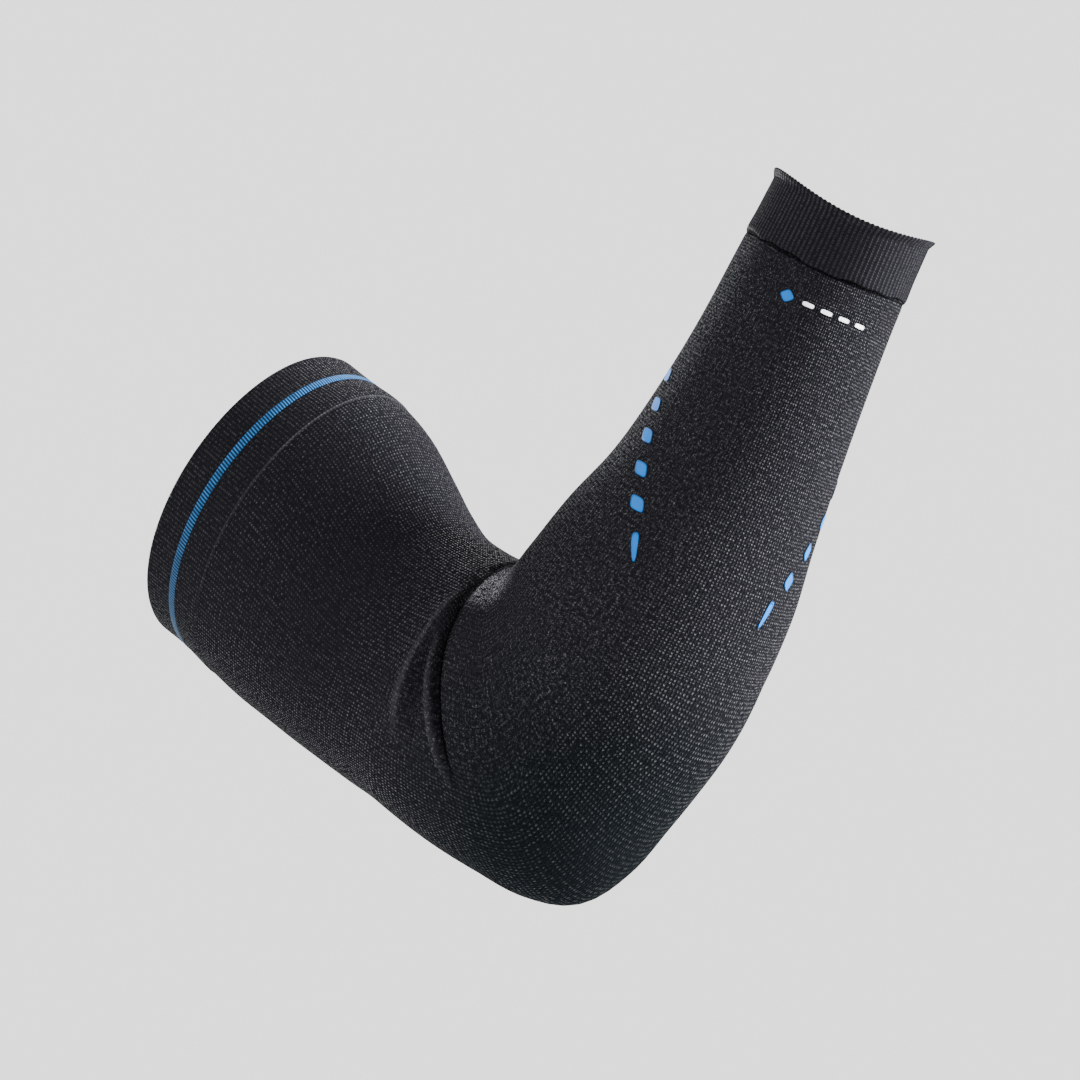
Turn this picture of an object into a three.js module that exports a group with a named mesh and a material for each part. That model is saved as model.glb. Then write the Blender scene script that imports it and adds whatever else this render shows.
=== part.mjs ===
// Arm compression sleeve, kept in the form that it has on a bent arm.
// Millimetres, +Z up. The bend plane is XZ and the origin is the elbow seat, where the two limb axes cross.
// The wall is a run of oval sections. They stand square to each limb and fan round the inner crease between.
// The sections are those of the inner face, where the knit lies on the arm.

import * as THREE from 'three';
import { ParametricGeometry } from 'three/addons/geometries/ParametricGeometry.js';
import { mergeVertices } from 'three/addons/utils/BufferGeometryUtils.js';

// Bend of the arm
const FOREARM_RISE = THREE.MathUtils.degToRad(58.7);
const ELBOW_BEND = THREE.MathUtils.degToRad(90.2);
const WRIST_LEAN = THREE.MathUtils.degToRad(6.5);
const BAND_LEAN = THREE.MathUtils.degToRad(2);

// Reach of each limb, from the elbow seat to its open end
const FOREARM_REACH = 184.8;
const UPPER_ARM_REACH = 155.5;

// Girths: breadth lies in the bend plane, depth across it
const WRIST_BREADTH = 58;
const WRIST_DEPTH = 50;
const FOREARM_BREADTH = 92;
const FOREARM_DEPTH = 82;
const ELBOW_REACH = 115.5;
const ELBOW_DEPTH = 88;
const UPPER_ARM_BREADTH = 118;
const UPPER_ARM_DEPTH = 102;

// The wrist's rim is lower behind than in front, and bows down between its two sides
const WRIST_BACK_DROP = 7.2;
const WRIST_BOW = 5.1;
const WRIST_BOW_REACH = 48;
const WRIST_BOW_TURN = 0.105;

// Inner crease: its valley stays this far from the line that the sections fan round
const CREASE_RADIUS = 3;
const FOREARM_SHARE_IN_CREASE = 0.49;
const UPPER_ARM_SHARE_IN_CREASE = 0.23;

// Folds beside the crease
const FOLD_HEIGHT = 4;
const FOLD_WIDTH = 5;
const FOLD_FREE_RADIUS = 16;

// Walls and lengths of the knitted pieces
const BODY_WALL = 1.4;
const CUFF_WALL = 2.4;
const CUFF_LENGTH = 21.6;
const BAND_WALL = 2.4;
const BAND_PROUD = 0.35;
const BAND_EDGE_ROUND = 0.7;
const BAND_LENGTH = 26.5;
const STRIPE_WIDTH = 3;
const STRIPE_THICKNESS = 0.5;
const STRIPE_FROM_RIM = 13.8;
const PIECE_GAP = 0.3;

// Raised print: lozenges that shrink into a drop, and a small plain mark under the cuff
const PRINT_THICKNESS = 0.5;
const PRINT_GAP = 0.35;
const LOZENGE_LENGTH = 9.4;
const LOZENGE_WIDTH = 5.6;
const LOZENGE_PITCH = 9.6;
const LOZENGE_COUNT = 5;
const CORNER_RADIUS = 1.4;
const DROP_LENGTH = 10;
const DROP_WIDTH = 3;
const DROP_TIP_WIDTH = 1.2;
const MARK_FROM_CUFF = 13.4;
const MARK_SIZE = 5.6;
const DASH_LENGTH = 3.8;
const DASH_WIDTH = 1.6;
const DASH_PITCH = 5.9;
const DASH_COUNT = 4;

// Mesh fineness
const AROUND = 44;
const FOREARM_STEPS = 12;
const ELBOW_STEPS = 9;
const CREASE_STEPS = 11;
const UPPER_ARM_STEPS = 10;

// Rows run from the wrist to the elbow. `at` is the share of the straight forearm, 1 at its rim
const FOREARM_SECTIONS = [
  { at: 1.0, breadth: WRIST_BREADTH, deep: WRIST_DEPTH, inner: 0.47, outer: 0.442, depth: 0.5 },
  { at: 0.81, breadth: WRIST_BREADTH, deep: WRIST_DEPTH, inner: 0.478, outer: 0.487, depth: 0.5 },
  { at: 0.64, breadth: FOREARM_BREADTH, deep: FOREARM_DEPTH, inner: 0.304, outer: 0.343, depth: 0.33 },
  { at: 0.48, breadth: FOREARM_BREADTH, deep: FOREARM_DEPTH, inner: 0.323, outer: 0.383, depth: 0.366 },
  { at: 0.32, breadth: FOREARM_BREADTH, deep: FOREARM_DEPTH, inner: 0.36, outer: 0.427, depth: 0.42 },
  { at: 0.19, breadth: FOREARM_BREADTH, deep: FOREARM_DEPTH, inner: 0.425, outer: 0.471, depth: 0.475 },
  { at: 0.08, breadth: FOREARM_BREADTH, deep: FOREARM_DEPTH, inner: 0.465, outer: 0.49, depth: 0.5 },
  { at: 0.0, breadth: FOREARM_BREADTH, deep: FOREARM_DEPTH, inner: 0.49, outer: 0.497, depth: 0.512 },
];

// Rows run round the elbow: `at` is the share of the turn, `far` is measured from the crease line
const ELBOW_SECTIONS = [
  { at: 0.17, far: 0.836, depth: 0.49 },
  { at: 0.27, far: 0.86, depth: 0.49 },
  { at: 0.37, far: 0.902, depth: 0.49 },
  { at: 0.47, far: 0.966, depth: 0.5 },
  { at: 0.56, far: 1.006, depth: 0.5 },
  { at: 0.64, far: 0.978, depth: 0.5 },
  { at: 0.74, far: 0.918, depth: 0.51 },
  { at: 0.87, far: 0.868, depth: 0.52 },
];

// Rows run up the upper arm: `at` is the share of the straight upper arm, 0 at the crease, 1 at the rim
const UPPER_ARM_SECTIONS = [
  { at: 0.0, inner: 0.23, outer: 0.566, depth: 0.46 },
  { at: 0.14, inner: 0.22, outer: 0.562, depth: 0.47 },
  { at: 0.26, inner: 0.227, outer: 0.559, depth: 0.475 },
  { at: 0.38, inner: 0.272, outer: 0.556, depth: 0.48 },
  { at: 0.5, inner: 0.333, outer: 0.55, depth: 0.49 },
  { at: 0.63, inner: 0.395, outer: 0.543, depth: 0.5 },
  { at: 0.76, inner: 0.428, outer: 0.526, depth: 0.5 },
  { at: 0.88, inner: 0.434, outer: 0.506, depth: 0.5 },
  { at: 1.0, inner: 0.445, outer: 0.499, depth: 0.49 },
];

// Folds that start in the crease and fade on each side of the arm. `at` is the share of the elbow's turn
// where the fold passes the side line, `lean` its change for each quarter turn, `from` and `to` its ends
const FOLDS = [
  { at: 0.66, lean: 0, from: 0.04, to: 0.34, fade: 0.1, rise: 0.5, width: 1.6 },
  { at: 0.752, lean: -0.29, from: 0.03, to: 0.33, fade: 0.1, rise: -1.1, width: 0.75 },
  { at: 0.8, lean: -0.34, from: 0.19, to: 0.32, fade: 0.05, rise: 0.4, width: 0.65 },
  { at: 0.935, lean: -0.12, from: 0.12, to: 0.3, fade: 0.07, rise: 0.5, width: 0.7 },
];

// Rows of lozenges on the forearm, from the lowest one up. `at` is that one's share of the straight
// forearm from the rim, `turn` its place round the arm. The next one lies a share of the pitch up the arm
// and a `step` round it. The two diagonals have their angles, in degrees from the arm's own line, and shares
const PRINT_ROWS = [
  { name: 'inner', at: 0.73, turn: 0.2297, pitch: 1, step: -0.031, long: [65, 1], short: [149, 1] },
  { name: 'outer', at: 0.7417, turn: 0.4873, pitch: 1.05, step: 0.029, long: [3, 0.8], short: [-74, 1.04] },
];
const DROPS = [
  { name: 'inner', at: 0.805, turn: 0.263, slope: 31 },
  { name: 'outer', at: 0.8165, turn: 0.463, slope: -13 },
];
const MARK_TURN = 0.278;
const DASH_TURN = 0.319;

const KNIT = { color: 0x1c1c20, roughness: 0.9, metalness: 0 };
const STRIPE_YARN = { color: 0x4f9fd0, roughness: 0.8, metalness: 0 };
const BLUE_PRINT = { color: 0x5aa5dc, roughness: 0.55, metalness: 0 };
const WHITE_PRINT = { color: 0xf0f2f4, roughness: 0.55, metalness: 0 };

const QUARTER = 0.25;
const HALF_TURN = Math.PI;
const FULL_TURN = 2 * Math.PI;

const directionAt = (angle) => new THREE.Vector3(Math.cos(angle), 0, Math.sin(angle));

const forearmAxis = directionAt(FOREARM_RISE);
const upperArmAxis = directionAt(FOREARM_RISE + ELBOW_BEND);
const outOfForearm = FOREARM_RISE - HALF_TURN / 2;
const fanTurn = HALF_TURN - ELBOW_BEND;
const towardsFront = new THREE.Vector3(0, -1, 0);

// The crease line is parallel to Y and stands off each limb axis by that limb's half breadth and the radius
const creaseOffForearm = FOREARM_SHARE_IN_CREASE * FOREARM_BREADTH + CREASE_RADIUS;
const creaseOffUpperArm = UPPER_ARM_SHARE_IN_CREASE * UPPER_ARM_BREADTH + CREASE_RADIUS;
const creaseLine = new THREE.Vector3()
  .addScaledVector(forearmAxis, creaseOffUpperArm / Math.sin(ELBOW_BEND))
  .addScaledVector(upperArmAxis, creaseOffForearm / Math.sin(ELBOW_BEND));

// `along` runs down the forearm, round the elbow and up the upper arm
const forearmStraight = FOREARM_REACH - creaseLine.dot(forearmAxis);
const upperArmStraight = UPPER_ARM_REACH - creaseLine.dot(upperArmAxis);
const elbowLength = (fanTurn * (ELBOW_REACH + CREASE_RADIUS)) / 2;
const elbowEnd = forearmStraight + elbowLength;
const sleeveLength = elbowEnd + upperArmStraight;

// Each section is held as its nearest and farthest distance from the crease line and its half depth
const sections = [
  ...FOREARM_SECTIONS.map(({ at, breadth, deep, inner, outer, depth }) => [
    forearmStraight * (1 - at),
    creaseOffForearm - inner * breadth,
    creaseOffForearm + outer * breadth,
    depth * deep,
  ]),
  ...ELBOW_SECTIONS.map(({ at, far, depth }) => [
    forearmStraight + elbowLength * at,
    CREASE_RADIUS,
    far * ELBOW_REACH,
    depth * ELBOW_DEPTH,
  ]),
  ...UPPER_ARM_SECTIONS.map(({ at, inner, outer, depth }) => [
    elbowEnd + upperArmStraight * at,
    creaseOffUpperArm - inner * UPPER_ARM_BREADTH,
    creaseOffUpperArm + outer * UPPER_ARM_BREADTH,
    depth * UPPER_ARM_DEPTH,
  ]),
];
const VALUES_PER_SECTION = 3;
const sectionCurve = new THREE.CubicInterpolant(
  sections.map(([along]) => along),
  sections.flatMap(([, near, far, depth]) => [near, far, depth]),
  VALUES_PER_SECTION,
);

// Section at a place along the sleeve: its foot on the crease line, its way out and its half axes
function sectionAt(along) {
  const [near, far, depth] = sectionCurve.evaluate(along);
  const share = THREE.MathUtils.clamp((along - forearmStraight) / elbowLength, 0, 1);
  const wristShare = 1 - THREE.MathUtils.smoothstep(along, 0, forearmStraight);
  const bandShare = THREE.MathUtils.smoothstep(along, elbowEnd, sleeveLength);
  const foot = creaseLine.clone();
  foot.addScaledVector(forearmAxis, Math.max(forearmStraight - along, 0));
  foot.addScaledVector(upperArmAxis, Math.max(along - elbowEnd, 0));
  return {
    foot,
    outward: directionAt(outOfForearm - fanTurn * share + WRIST_LEAN * wristShare - BAND_LEAN * bandShare),
    centre: (near + far) / 2,
    half: (far - near) / 2,
    depth,
    share,
    backDrop: WRIST_BACK_DROP * wristShare,
    bow: WRIST_BOW * (1 - THREE.MathUtils.smoothstep(along, 0, WRIST_BOW_REACH)),
  };
}

// Height of the folds over the plain section
function foldLift(along, turn, section) {
  const side = Math.abs(turn - Math.round(turn));
  const radius = section.centre - section.half * Math.cos(FULL_TURN * turn);
  const beyond = Math.max(along - elbowEnd, 0) - Math.max(forearmStraight - along, 0);
  let lift = 0;
  for (const { at, lean, from, to, fade, rise, width } of FOLDS) {
    const place = at + lean * (side / QUARTER - 1);
    const across = (section.share - place) * fanTurn * radius + beyond;
    const ridge = Math.exp(-((across / (width * FOLD_WIDTH)) ** 2));
    const start = THREE.MathUtils.smoothstep(side, from, from + fade);
    const end = 1 - THREE.MathUtils.smoothstep(side, to - fade, to);
    lift += rise * FOLD_HEIGHT * ridge * start * end;
  }
  return lift * Math.min(radius / FOLD_FREE_RADIUS, 1);
}

// Point of the plain section. A turn of 0 is the crease side, 0.25 the front and 0.5 the outside
function sectionPoint(along, turn, target) {
  const { foot, outward, centre, half, depth, backDrop, bow } = sectionAt(along);
  const angle = FULL_TURN * turn;
  const frontShare = Math.sin(angle);
  const backShare = (1 - frontShare) / 2;
  const bowShare = Math.sin(angle - FULL_TURN * WRIST_BOW_TURN) ** 2;
  target.copy(foot);
  target.addScaledVector(forearmAxis, -backDrop * backShare ** 2 - bow * bowShare);
  target.addScaledVector(outward, centre - half * Math.cos(angle));
  target.addScaledVector(towardsFront, depth * frontShare);
  return target;
}

const ALONG_STEP = 0.05;
const TURN_STEP = 0.0005;
const ahead = new THREE.Vector3();
const behind = new THREE.Vector3();
const lengthwise = new THREE.Vector3();
const roundwise = new THREE.Vector3();
const normal = new THREE.Vector3();

// Point of the sleeve that stands `lift` outside the outer face of its plain knit
function sleevePoint(along, turn, lift, target) {
  sectionPoint(along + ALONG_STEP, turn, ahead);
  sectionPoint(along - ALONG_STEP, turn, behind);
  lengthwise.subVectors(ahead, behind);
  sectionPoint(along, turn + TURN_STEP, ahead);
  sectionPoint(along, turn - TURN_STEP, behind);
  roundwise.subVectors(ahead, behind);
  normal.crossVectors(lengthwise, roundwise).normalize();
  sectionPoint(along, turn, target);
  return target.addScaledVector(normal, BODY_WALL + lift + foldLift(along, turn, sectionAt(along)));
}

function namedMesh(name, geometry, finish) {
  geometry.deleteAttribute('normal');
  geometry.deleteAttribute('uv');
  const mesh = new THREE.Mesh(mergeVertices(geometry), new THREE.MeshStandardMaterial(finish));
  mesh.geometry.computeVertexNormals();
  mesh.name = name;
  return mesh;
}

// Ring round the arm. Its profile of places along and lifts runs down the outer face and back up inside
function ring(name, profile, finish) {
  const steps = profile.length;
  const place = (turn, share, target) => {
    const [along, lift] = profile[Math.round((1 - share) * steps) % steps];
    sleevePoint(along, turn, lift, target);
  };
  return namedMesh(name, new ParametricGeometry(place, AROUND, steps), finish);
}

const evenSteps = (from, to, steps) =>
  Array.from({ length: steps + 1 }, (_, i) => THREE.MathUtils.lerp(from, to, i / steps));

// Body: thin knit from under the cuff, round the elbow, to the band
const bodyStart = CUFF_LENGTH + PIECE_GAP;
const bodyEnd = sleeveLength - BAND_LENGTH - PIECE_GAP;
const creaseStart = forearmStraight + elbowLength * FOLDS[0].at;
const bodyStations = [
  ...evenSteps(bodyStart, forearmStraight, FOREARM_STEPS).slice(0, -1),
  ...evenSteps(forearmStraight, creaseStart, ELBOW_STEPS).slice(0, -1),
  ...evenSteps(creaseStart, elbowEnd, CREASE_STEPS).slice(0, -1),
  ...evenSteps(elbowEnd, bodyEnd, UPPER_ARM_STEPS),
];

function sleeveBody() {
  const outside = bodyStations.map((along) => [along, 0]);
  const inside = bodyStations.toReversed().map((along) => [along, -BODY_WALL]);
  return ring('sleeve_body', [...outside, ...inside], KNIT);
}

// Cuff: ribbed welt with a rim that flares. `at` is a share of its length, `lift` of its wall
const CUFF_PROFILE = [
  { at: 0.0, lift: 0.36 },
  { at: 0.05, lift: 0.26 },
  { at: 0.14, lift: 0.14 },
  { at: 0.5, lift: 0.12 },
  { at: 0.86, lift: 0.18 },
  { at: 0.96, lift: 0.12 },
  { at: 1.0, lift: -0.12 },
  { at: 1.0, lift: -0.82 },
  { at: 0.5, lift: -0.86 },
  { at: 0.05, lift: -0.74 },
  { at: 0.0, lift: -0.48 },
];

function wristCuff() {
  const profile = CUFF_PROFILE.map(({ at, lift }) => [at * CUFF_LENGTH, lift * CUFF_WALL]);
  return ring('wrist_cuff', profile, KNIT);
}

const bandStart = sleeveLength - BAND_LENGTH;
const stripeMiddle = sleeveLength - STRIPE_FROM_RIM;
const bandInside = BAND_PROUD - BAND_WALL;

// Band: doubled knit, with a shallow groove that the stripe lies in
function upperBand() {
  const grooveHalf = STRIPE_WIDTH / 2 + PIECE_GAP;
  const grooveFloor = BAND_PROUD - STRIPE_THICKNESS - PIECE_GAP;
  const edge = BAND_PROUD - BAND_EDGE_ROUND;
  const profile = [
    [bandStart, edge],
    [bandStart + BAND_EDGE_ROUND, BAND_PROUD],
    [(bandStart + stripeMiddle) / 2, BAND_PROUD],
    [stripeMiddle - grooveHalf, BAND_PROUD],
    [stripeMiddle - grooveHalf, grooveFloor],
    [stripeMiddle + grooveHalf, grooveFloor],
    [stripeMiddle + grooveHalf, BAND_PROUD],
    [(sleeveLength + stripeMiddle) / 2, BAND_PROUD],
    [sleeveLength - BAND_EDGE_ROUND, BAND_PROUD],
    [sleeveLength, edge],
    [sleeveLength, bandInside],
    [stripeMiddle, bandInside],
    [bandStart, bandInside],
  ];
  return ring('upper_band', profile, KNIT);
}

function bandStripe() {
  const low = stripeMiddle - STRIPE_WIDTH / 2;
  const high = stripeMiddle + STRIPE_WIDTH / 2;
  const floor = BAND_PROUD - STRIPE_THICKNESS;
  const profile = [[low, BAND_PROUD], [high, BAND_PROUD], [high, floor], [low, floor]];
  return ring('band_stripe', profile, STRIPE_YARN);
}

// Length round the sleeve at a place along it, by the usual estimate for an oval
function girthAt(along) {
  const { half, depth } = sectionAt(along);
  return HALF_TURN * (3 * (half + depth) - Math.sqrt((3 * half + depth) * (half + 3 * depth)));
}

// Outline through these corners with each corner rounded off
function roundedOutline(corners, radius) {
  const outline = new THREE.Shape();
  corners.forEach((corner, i) => {
    const before = corners.at(i - 1);
    const after = corners[(i + 1) % corners.length];
    const entry = corner.clone().lerp(before, Math.min(radius / corner.distanceTo(before), 0.5));
    const exit = corner.clone().lerp(after, Math.min(radius / corner.distanceTo(after), 0.5));
    if (i === 0) outline.moveTo(entry.x, entry.y);
    else outline.lineTo(entry.x, entry.y);
    outline.quadraticCurveTo(corner.x, corner.y, exit.x, exit.y);
  });
  outline.closePath();
  return outline;
}

const CORNER_STEPS = 3;

// Flat print laid on the knit. Its x runs along the sleeve and its y round it
function printed(name, outline, along, turn, finish) {
  const options = { depth: PRINT_THICKNESS, bevelEnabled: false, curveSegments: CORNER_STEPS };
  const geometry = new THREE.ExtrudeGeometry(outline, options);
  const position = geometry.getAttribute('position');
  const girth = girthAt(along);
  const point = new THREE.Vector3();
  for (let i = 0; i < position.count; i += 1) {
    point.fromBufferAttribute(position, i);
    sleevePoint(along + point.x, turn + point.y / girth, PRINT_GAP + point.z, point);
    position.setXYZ(i, point.x, point.y, point.z);
  }
  return namedMesh(name, geometry, finish);
}

const polar = (length, degrees) => {
  const angle = THREE.MathUtils.degToRad(degrees);
  return new THREE.Vector2(length * Math.cos(angle), length * Math.sin(angle));
};

// Outline with its corners at both ends of two half diagonals
function lozengeOutline(longWay, shortWay) {
  const corners = [longWay, shortWay, longWay.clone().negate(), shortWay.clone().negate()];
  const anticlockwise = THREE.ShapeUtils.isClockWise(corners) ? corners.toReversed() : corners;
  return roundedOutline(anticlockwise, CORNER_RADIUS);
}

// Drop that narrows down the arm
function dropOutline(slope) {
  const down = polar(DROP_LENGTH / 2, slope);
  const across = polar(1, slope + 90);
  const corners = [
    down.clone().negate().addScaledVector(across, -DROP_WIDTH / 2),
    down.clone().addScaledVector(across, -DROP_TIP_WIDTH / 2),
    down.clone().addScaledVector(across, DROP_TIP_WIDTH / 2),
    down.clone().negate().addScaledVector(across, DROP_WIDTH / 2),
  ];
  return roundedOutline(corners, DROP_TIP_WIDTH / 2);
}

function printRow({ name, at, turn, pitch, step, long, short }) {
  const [longAngle, longShare] = long;
  const [shortAngle, shortShare] = short;
  const longWay = polar((LOZENGE_LENGTH * longShare) / 2, longAngle);
  const shortWay = polar((LOZENGE_WIDTH * shortShare) / 2, shortAngle);
  const outline = lozengeOutline(longWay, shortWay);
  return Array.from({ length: LOZENGE_COUNT }, (_, i) => {
    const along = forearmStraight * at - i * pitch * LOZENGE_PITCH;
    return printed(`${name}_lozenge_${i + 1}`, outline, along, turn + i * step, BLUE_PRINT);
  });
}

const printDrop = ({ name, at, turn, slope }) =>
  printed(`${name}_drop`, dropOutline(slope), forearmStraight * at, turn, BLUE_PRINT);

// Plain mark under the cuff: one lozenge and a line of dashes
function cuffMark() {
  const along = CUFF_LENGTH + MARK_FROM_CUFF;
  const outline = lozengeOutline(polar(MARK_SIZE / 2, 0), polar(MARK_SIZE / 2, 90));
  const lozenge = printed('mark_lozenge', outline, along, MARK_TURN, BLUE_PRINT);
  const halfLength = DASH_LENGTH / 2;
  const halfWidth = DASH_WIDTH / 2;
  const corners = [
    new THREE.Vector2(-halfWidth, -halfLength),
    new THREE.Vector2(halfWidth, -halfLength),
    new THREE.Vector2(halfWidth, halfLength),
    new THREE.Vector2(-halfWidth, halfLength),
  ];
  const dashes = Array.from({ length: DASH_COUNT }, (_, i) => {
    const turn = DASH_TURN + (i * DASH_PITCH) / girthAt(along);
    return printed(`mark_dash_${i + 1}`, roundedOutline(corners, halfWidth), along, turn, WHITE_PRINT);
  });
  return [lozenge, ...dashes];
}

const sleeve = new THREE.Group();
sleeve.add(sleeveBody(), wristCuff(), upperBand(), bandStripe());
sleeve.add(...PRINT_ROWS.flatMap(printRow), ...DROPS.map(printDrop), ...cuffMark());

export default sleeve;
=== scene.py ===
"""Arm compression sleeve: knitted tube, ribbed cuff, striped band and raised print, for a render."""

import logging
import math
from dataclasses import dataclass, field
from enum import Enum
from typing import Callable, Union

import bpy
import numpy as np
from mathutils import Matrix, Vector


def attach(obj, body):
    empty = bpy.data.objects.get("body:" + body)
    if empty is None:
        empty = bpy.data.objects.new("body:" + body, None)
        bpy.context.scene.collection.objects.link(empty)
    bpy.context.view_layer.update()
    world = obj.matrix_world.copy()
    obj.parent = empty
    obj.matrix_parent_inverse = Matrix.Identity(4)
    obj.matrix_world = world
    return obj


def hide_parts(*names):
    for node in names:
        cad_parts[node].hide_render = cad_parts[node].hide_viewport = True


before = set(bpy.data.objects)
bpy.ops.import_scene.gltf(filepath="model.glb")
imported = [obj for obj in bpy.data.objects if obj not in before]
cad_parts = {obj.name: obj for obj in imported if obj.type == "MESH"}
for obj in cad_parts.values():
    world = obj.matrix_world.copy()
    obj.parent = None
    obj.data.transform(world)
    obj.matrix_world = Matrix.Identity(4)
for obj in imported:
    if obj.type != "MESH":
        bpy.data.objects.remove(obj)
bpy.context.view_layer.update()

LOG = logging.getLogger("sleeve")

# A millimetre in metres, millimetres in a decimetre, and a place beyond the whole sleeve
MM = 0.001
DECIMETRE = 100
NOWHERE = 9.0
FOLD_FADE = 0.06
UV_NAME = "knit"

Pair = tuple[float, float]
Place = tuple[float, float, float]
Colour = tuple[float, float, float]
Noise = tuple[float, float, float]
Span = tuple[float, float, float, float]
Places = np.ndarray
Profile = list[Pair]
Relief = Callable[[Places, Places, Places], tuple[Places, Places]]
Socket = bpy.types.NodeSocket
Value = Union[Socket, float, tuple, None]


def smooth_share(values: Places, low: float, high: float) -> Places:
    """Ease from 0 at low to 1 at high.

    Args:
        values: places to weigh.
        low: place where the weight starts.
        high: place where the weight is full.

    Returns:
        One weight for each place.
    """
    share = np.clip((values - low) / (high - low), 0.0, 1.0)
    return share * share * (3.0 - 2.0 * share)


def direction_at(angle: Places | float) -> Places:
    """Give the unit direction in the bend plane at an angle from +X."""
    angle = np.asarray(angle, dtype=float)
    return np.stack([np.cos(angle), np.zeros_like(angle), np.sin(angle)], axis=-1)


@dataclass(frozen=True)
class LimbRow:
    """One oval section of a limb.

    Its place is a share of the limb's length. It reaches inwards and outwards by shares of the
    breadth, and its half depth is a share of the full depth.
    """

    at: float
    breadth: float
    deep: float
    inner: float
    outer: float
    depth: float


@dataclass(frozen=True)
class ElbowRow:
    """One section of the elbow: its share of the turn, and shares of the elbow's reach and depth."""

    at: float
    far: float
    depth: float


@dataclass(frozen=True)
class Fold:
    """One fold beside the crease: its share of the elbow's turn, its lean, its ends and its form."""

    at: float
    lean: float
    start: float
    end: float
    fade: float
    rise: float
    width: float


@dataclass(frozen=True)
class FoldLine:
    """A fold's line on the knit map.

    Start is its place along at turn 0, and reach is where its weight is gone, both in decimetres.
    Slope is in decimetres a turn, and first and last are the turns where the line ends.
    """

    start: float
    slope: float
    first: float
    last: float
    reach: float


@dataclass(frozen=True)
class SleeveSizes:
    """Every size that the pieces share: lengths in millimetres, leans in degrees, turns and shares."""

    forearm_rise: float = 58.7
    elbow_bend: float = 90.2
    wrist_lean: float = 6.5
    wrist_back_drop: float = 7.2
    wrist_bow: float = 5.1
    wrist_bow_reach: float = 48.0
    wrist_bow_turn: float = 0.105
    band_lean: float = 2.0
    forearm_reach: float = 184.8
    upper_arm_reach: float = 155.5
    wrist_breadth: float = 58.0
    wrist_depth: float = 50.0
    forearm_breadth: float = 92.0
    forearm_depth: float = 82.0
    elbow_reach: float = 115.5
    elbow_depth: float = 88.0
    upper_arm_breadth: float = 118.0
    upper_arm_depth: float = 102.0
    crease_radius: float = 3.0
    forearm_share_in_crease: float = 0.49
    upper_arm_share_in_crease: float = 0.23
    fold_height: float = 4.0
    fold_width: float = 5.0
    fold_free_radius: float = 16.0
    body_wall: float = 1.4
    cuff_wall: float = 2.4
    cuff_length: float = 21.6
    band_wall: float = 2.4
    band_proud: float = 0.35
    band_length: float = 26.5
    stripe_width: float = 3.0
    stripe_from_rim: float = 13.8


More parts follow.
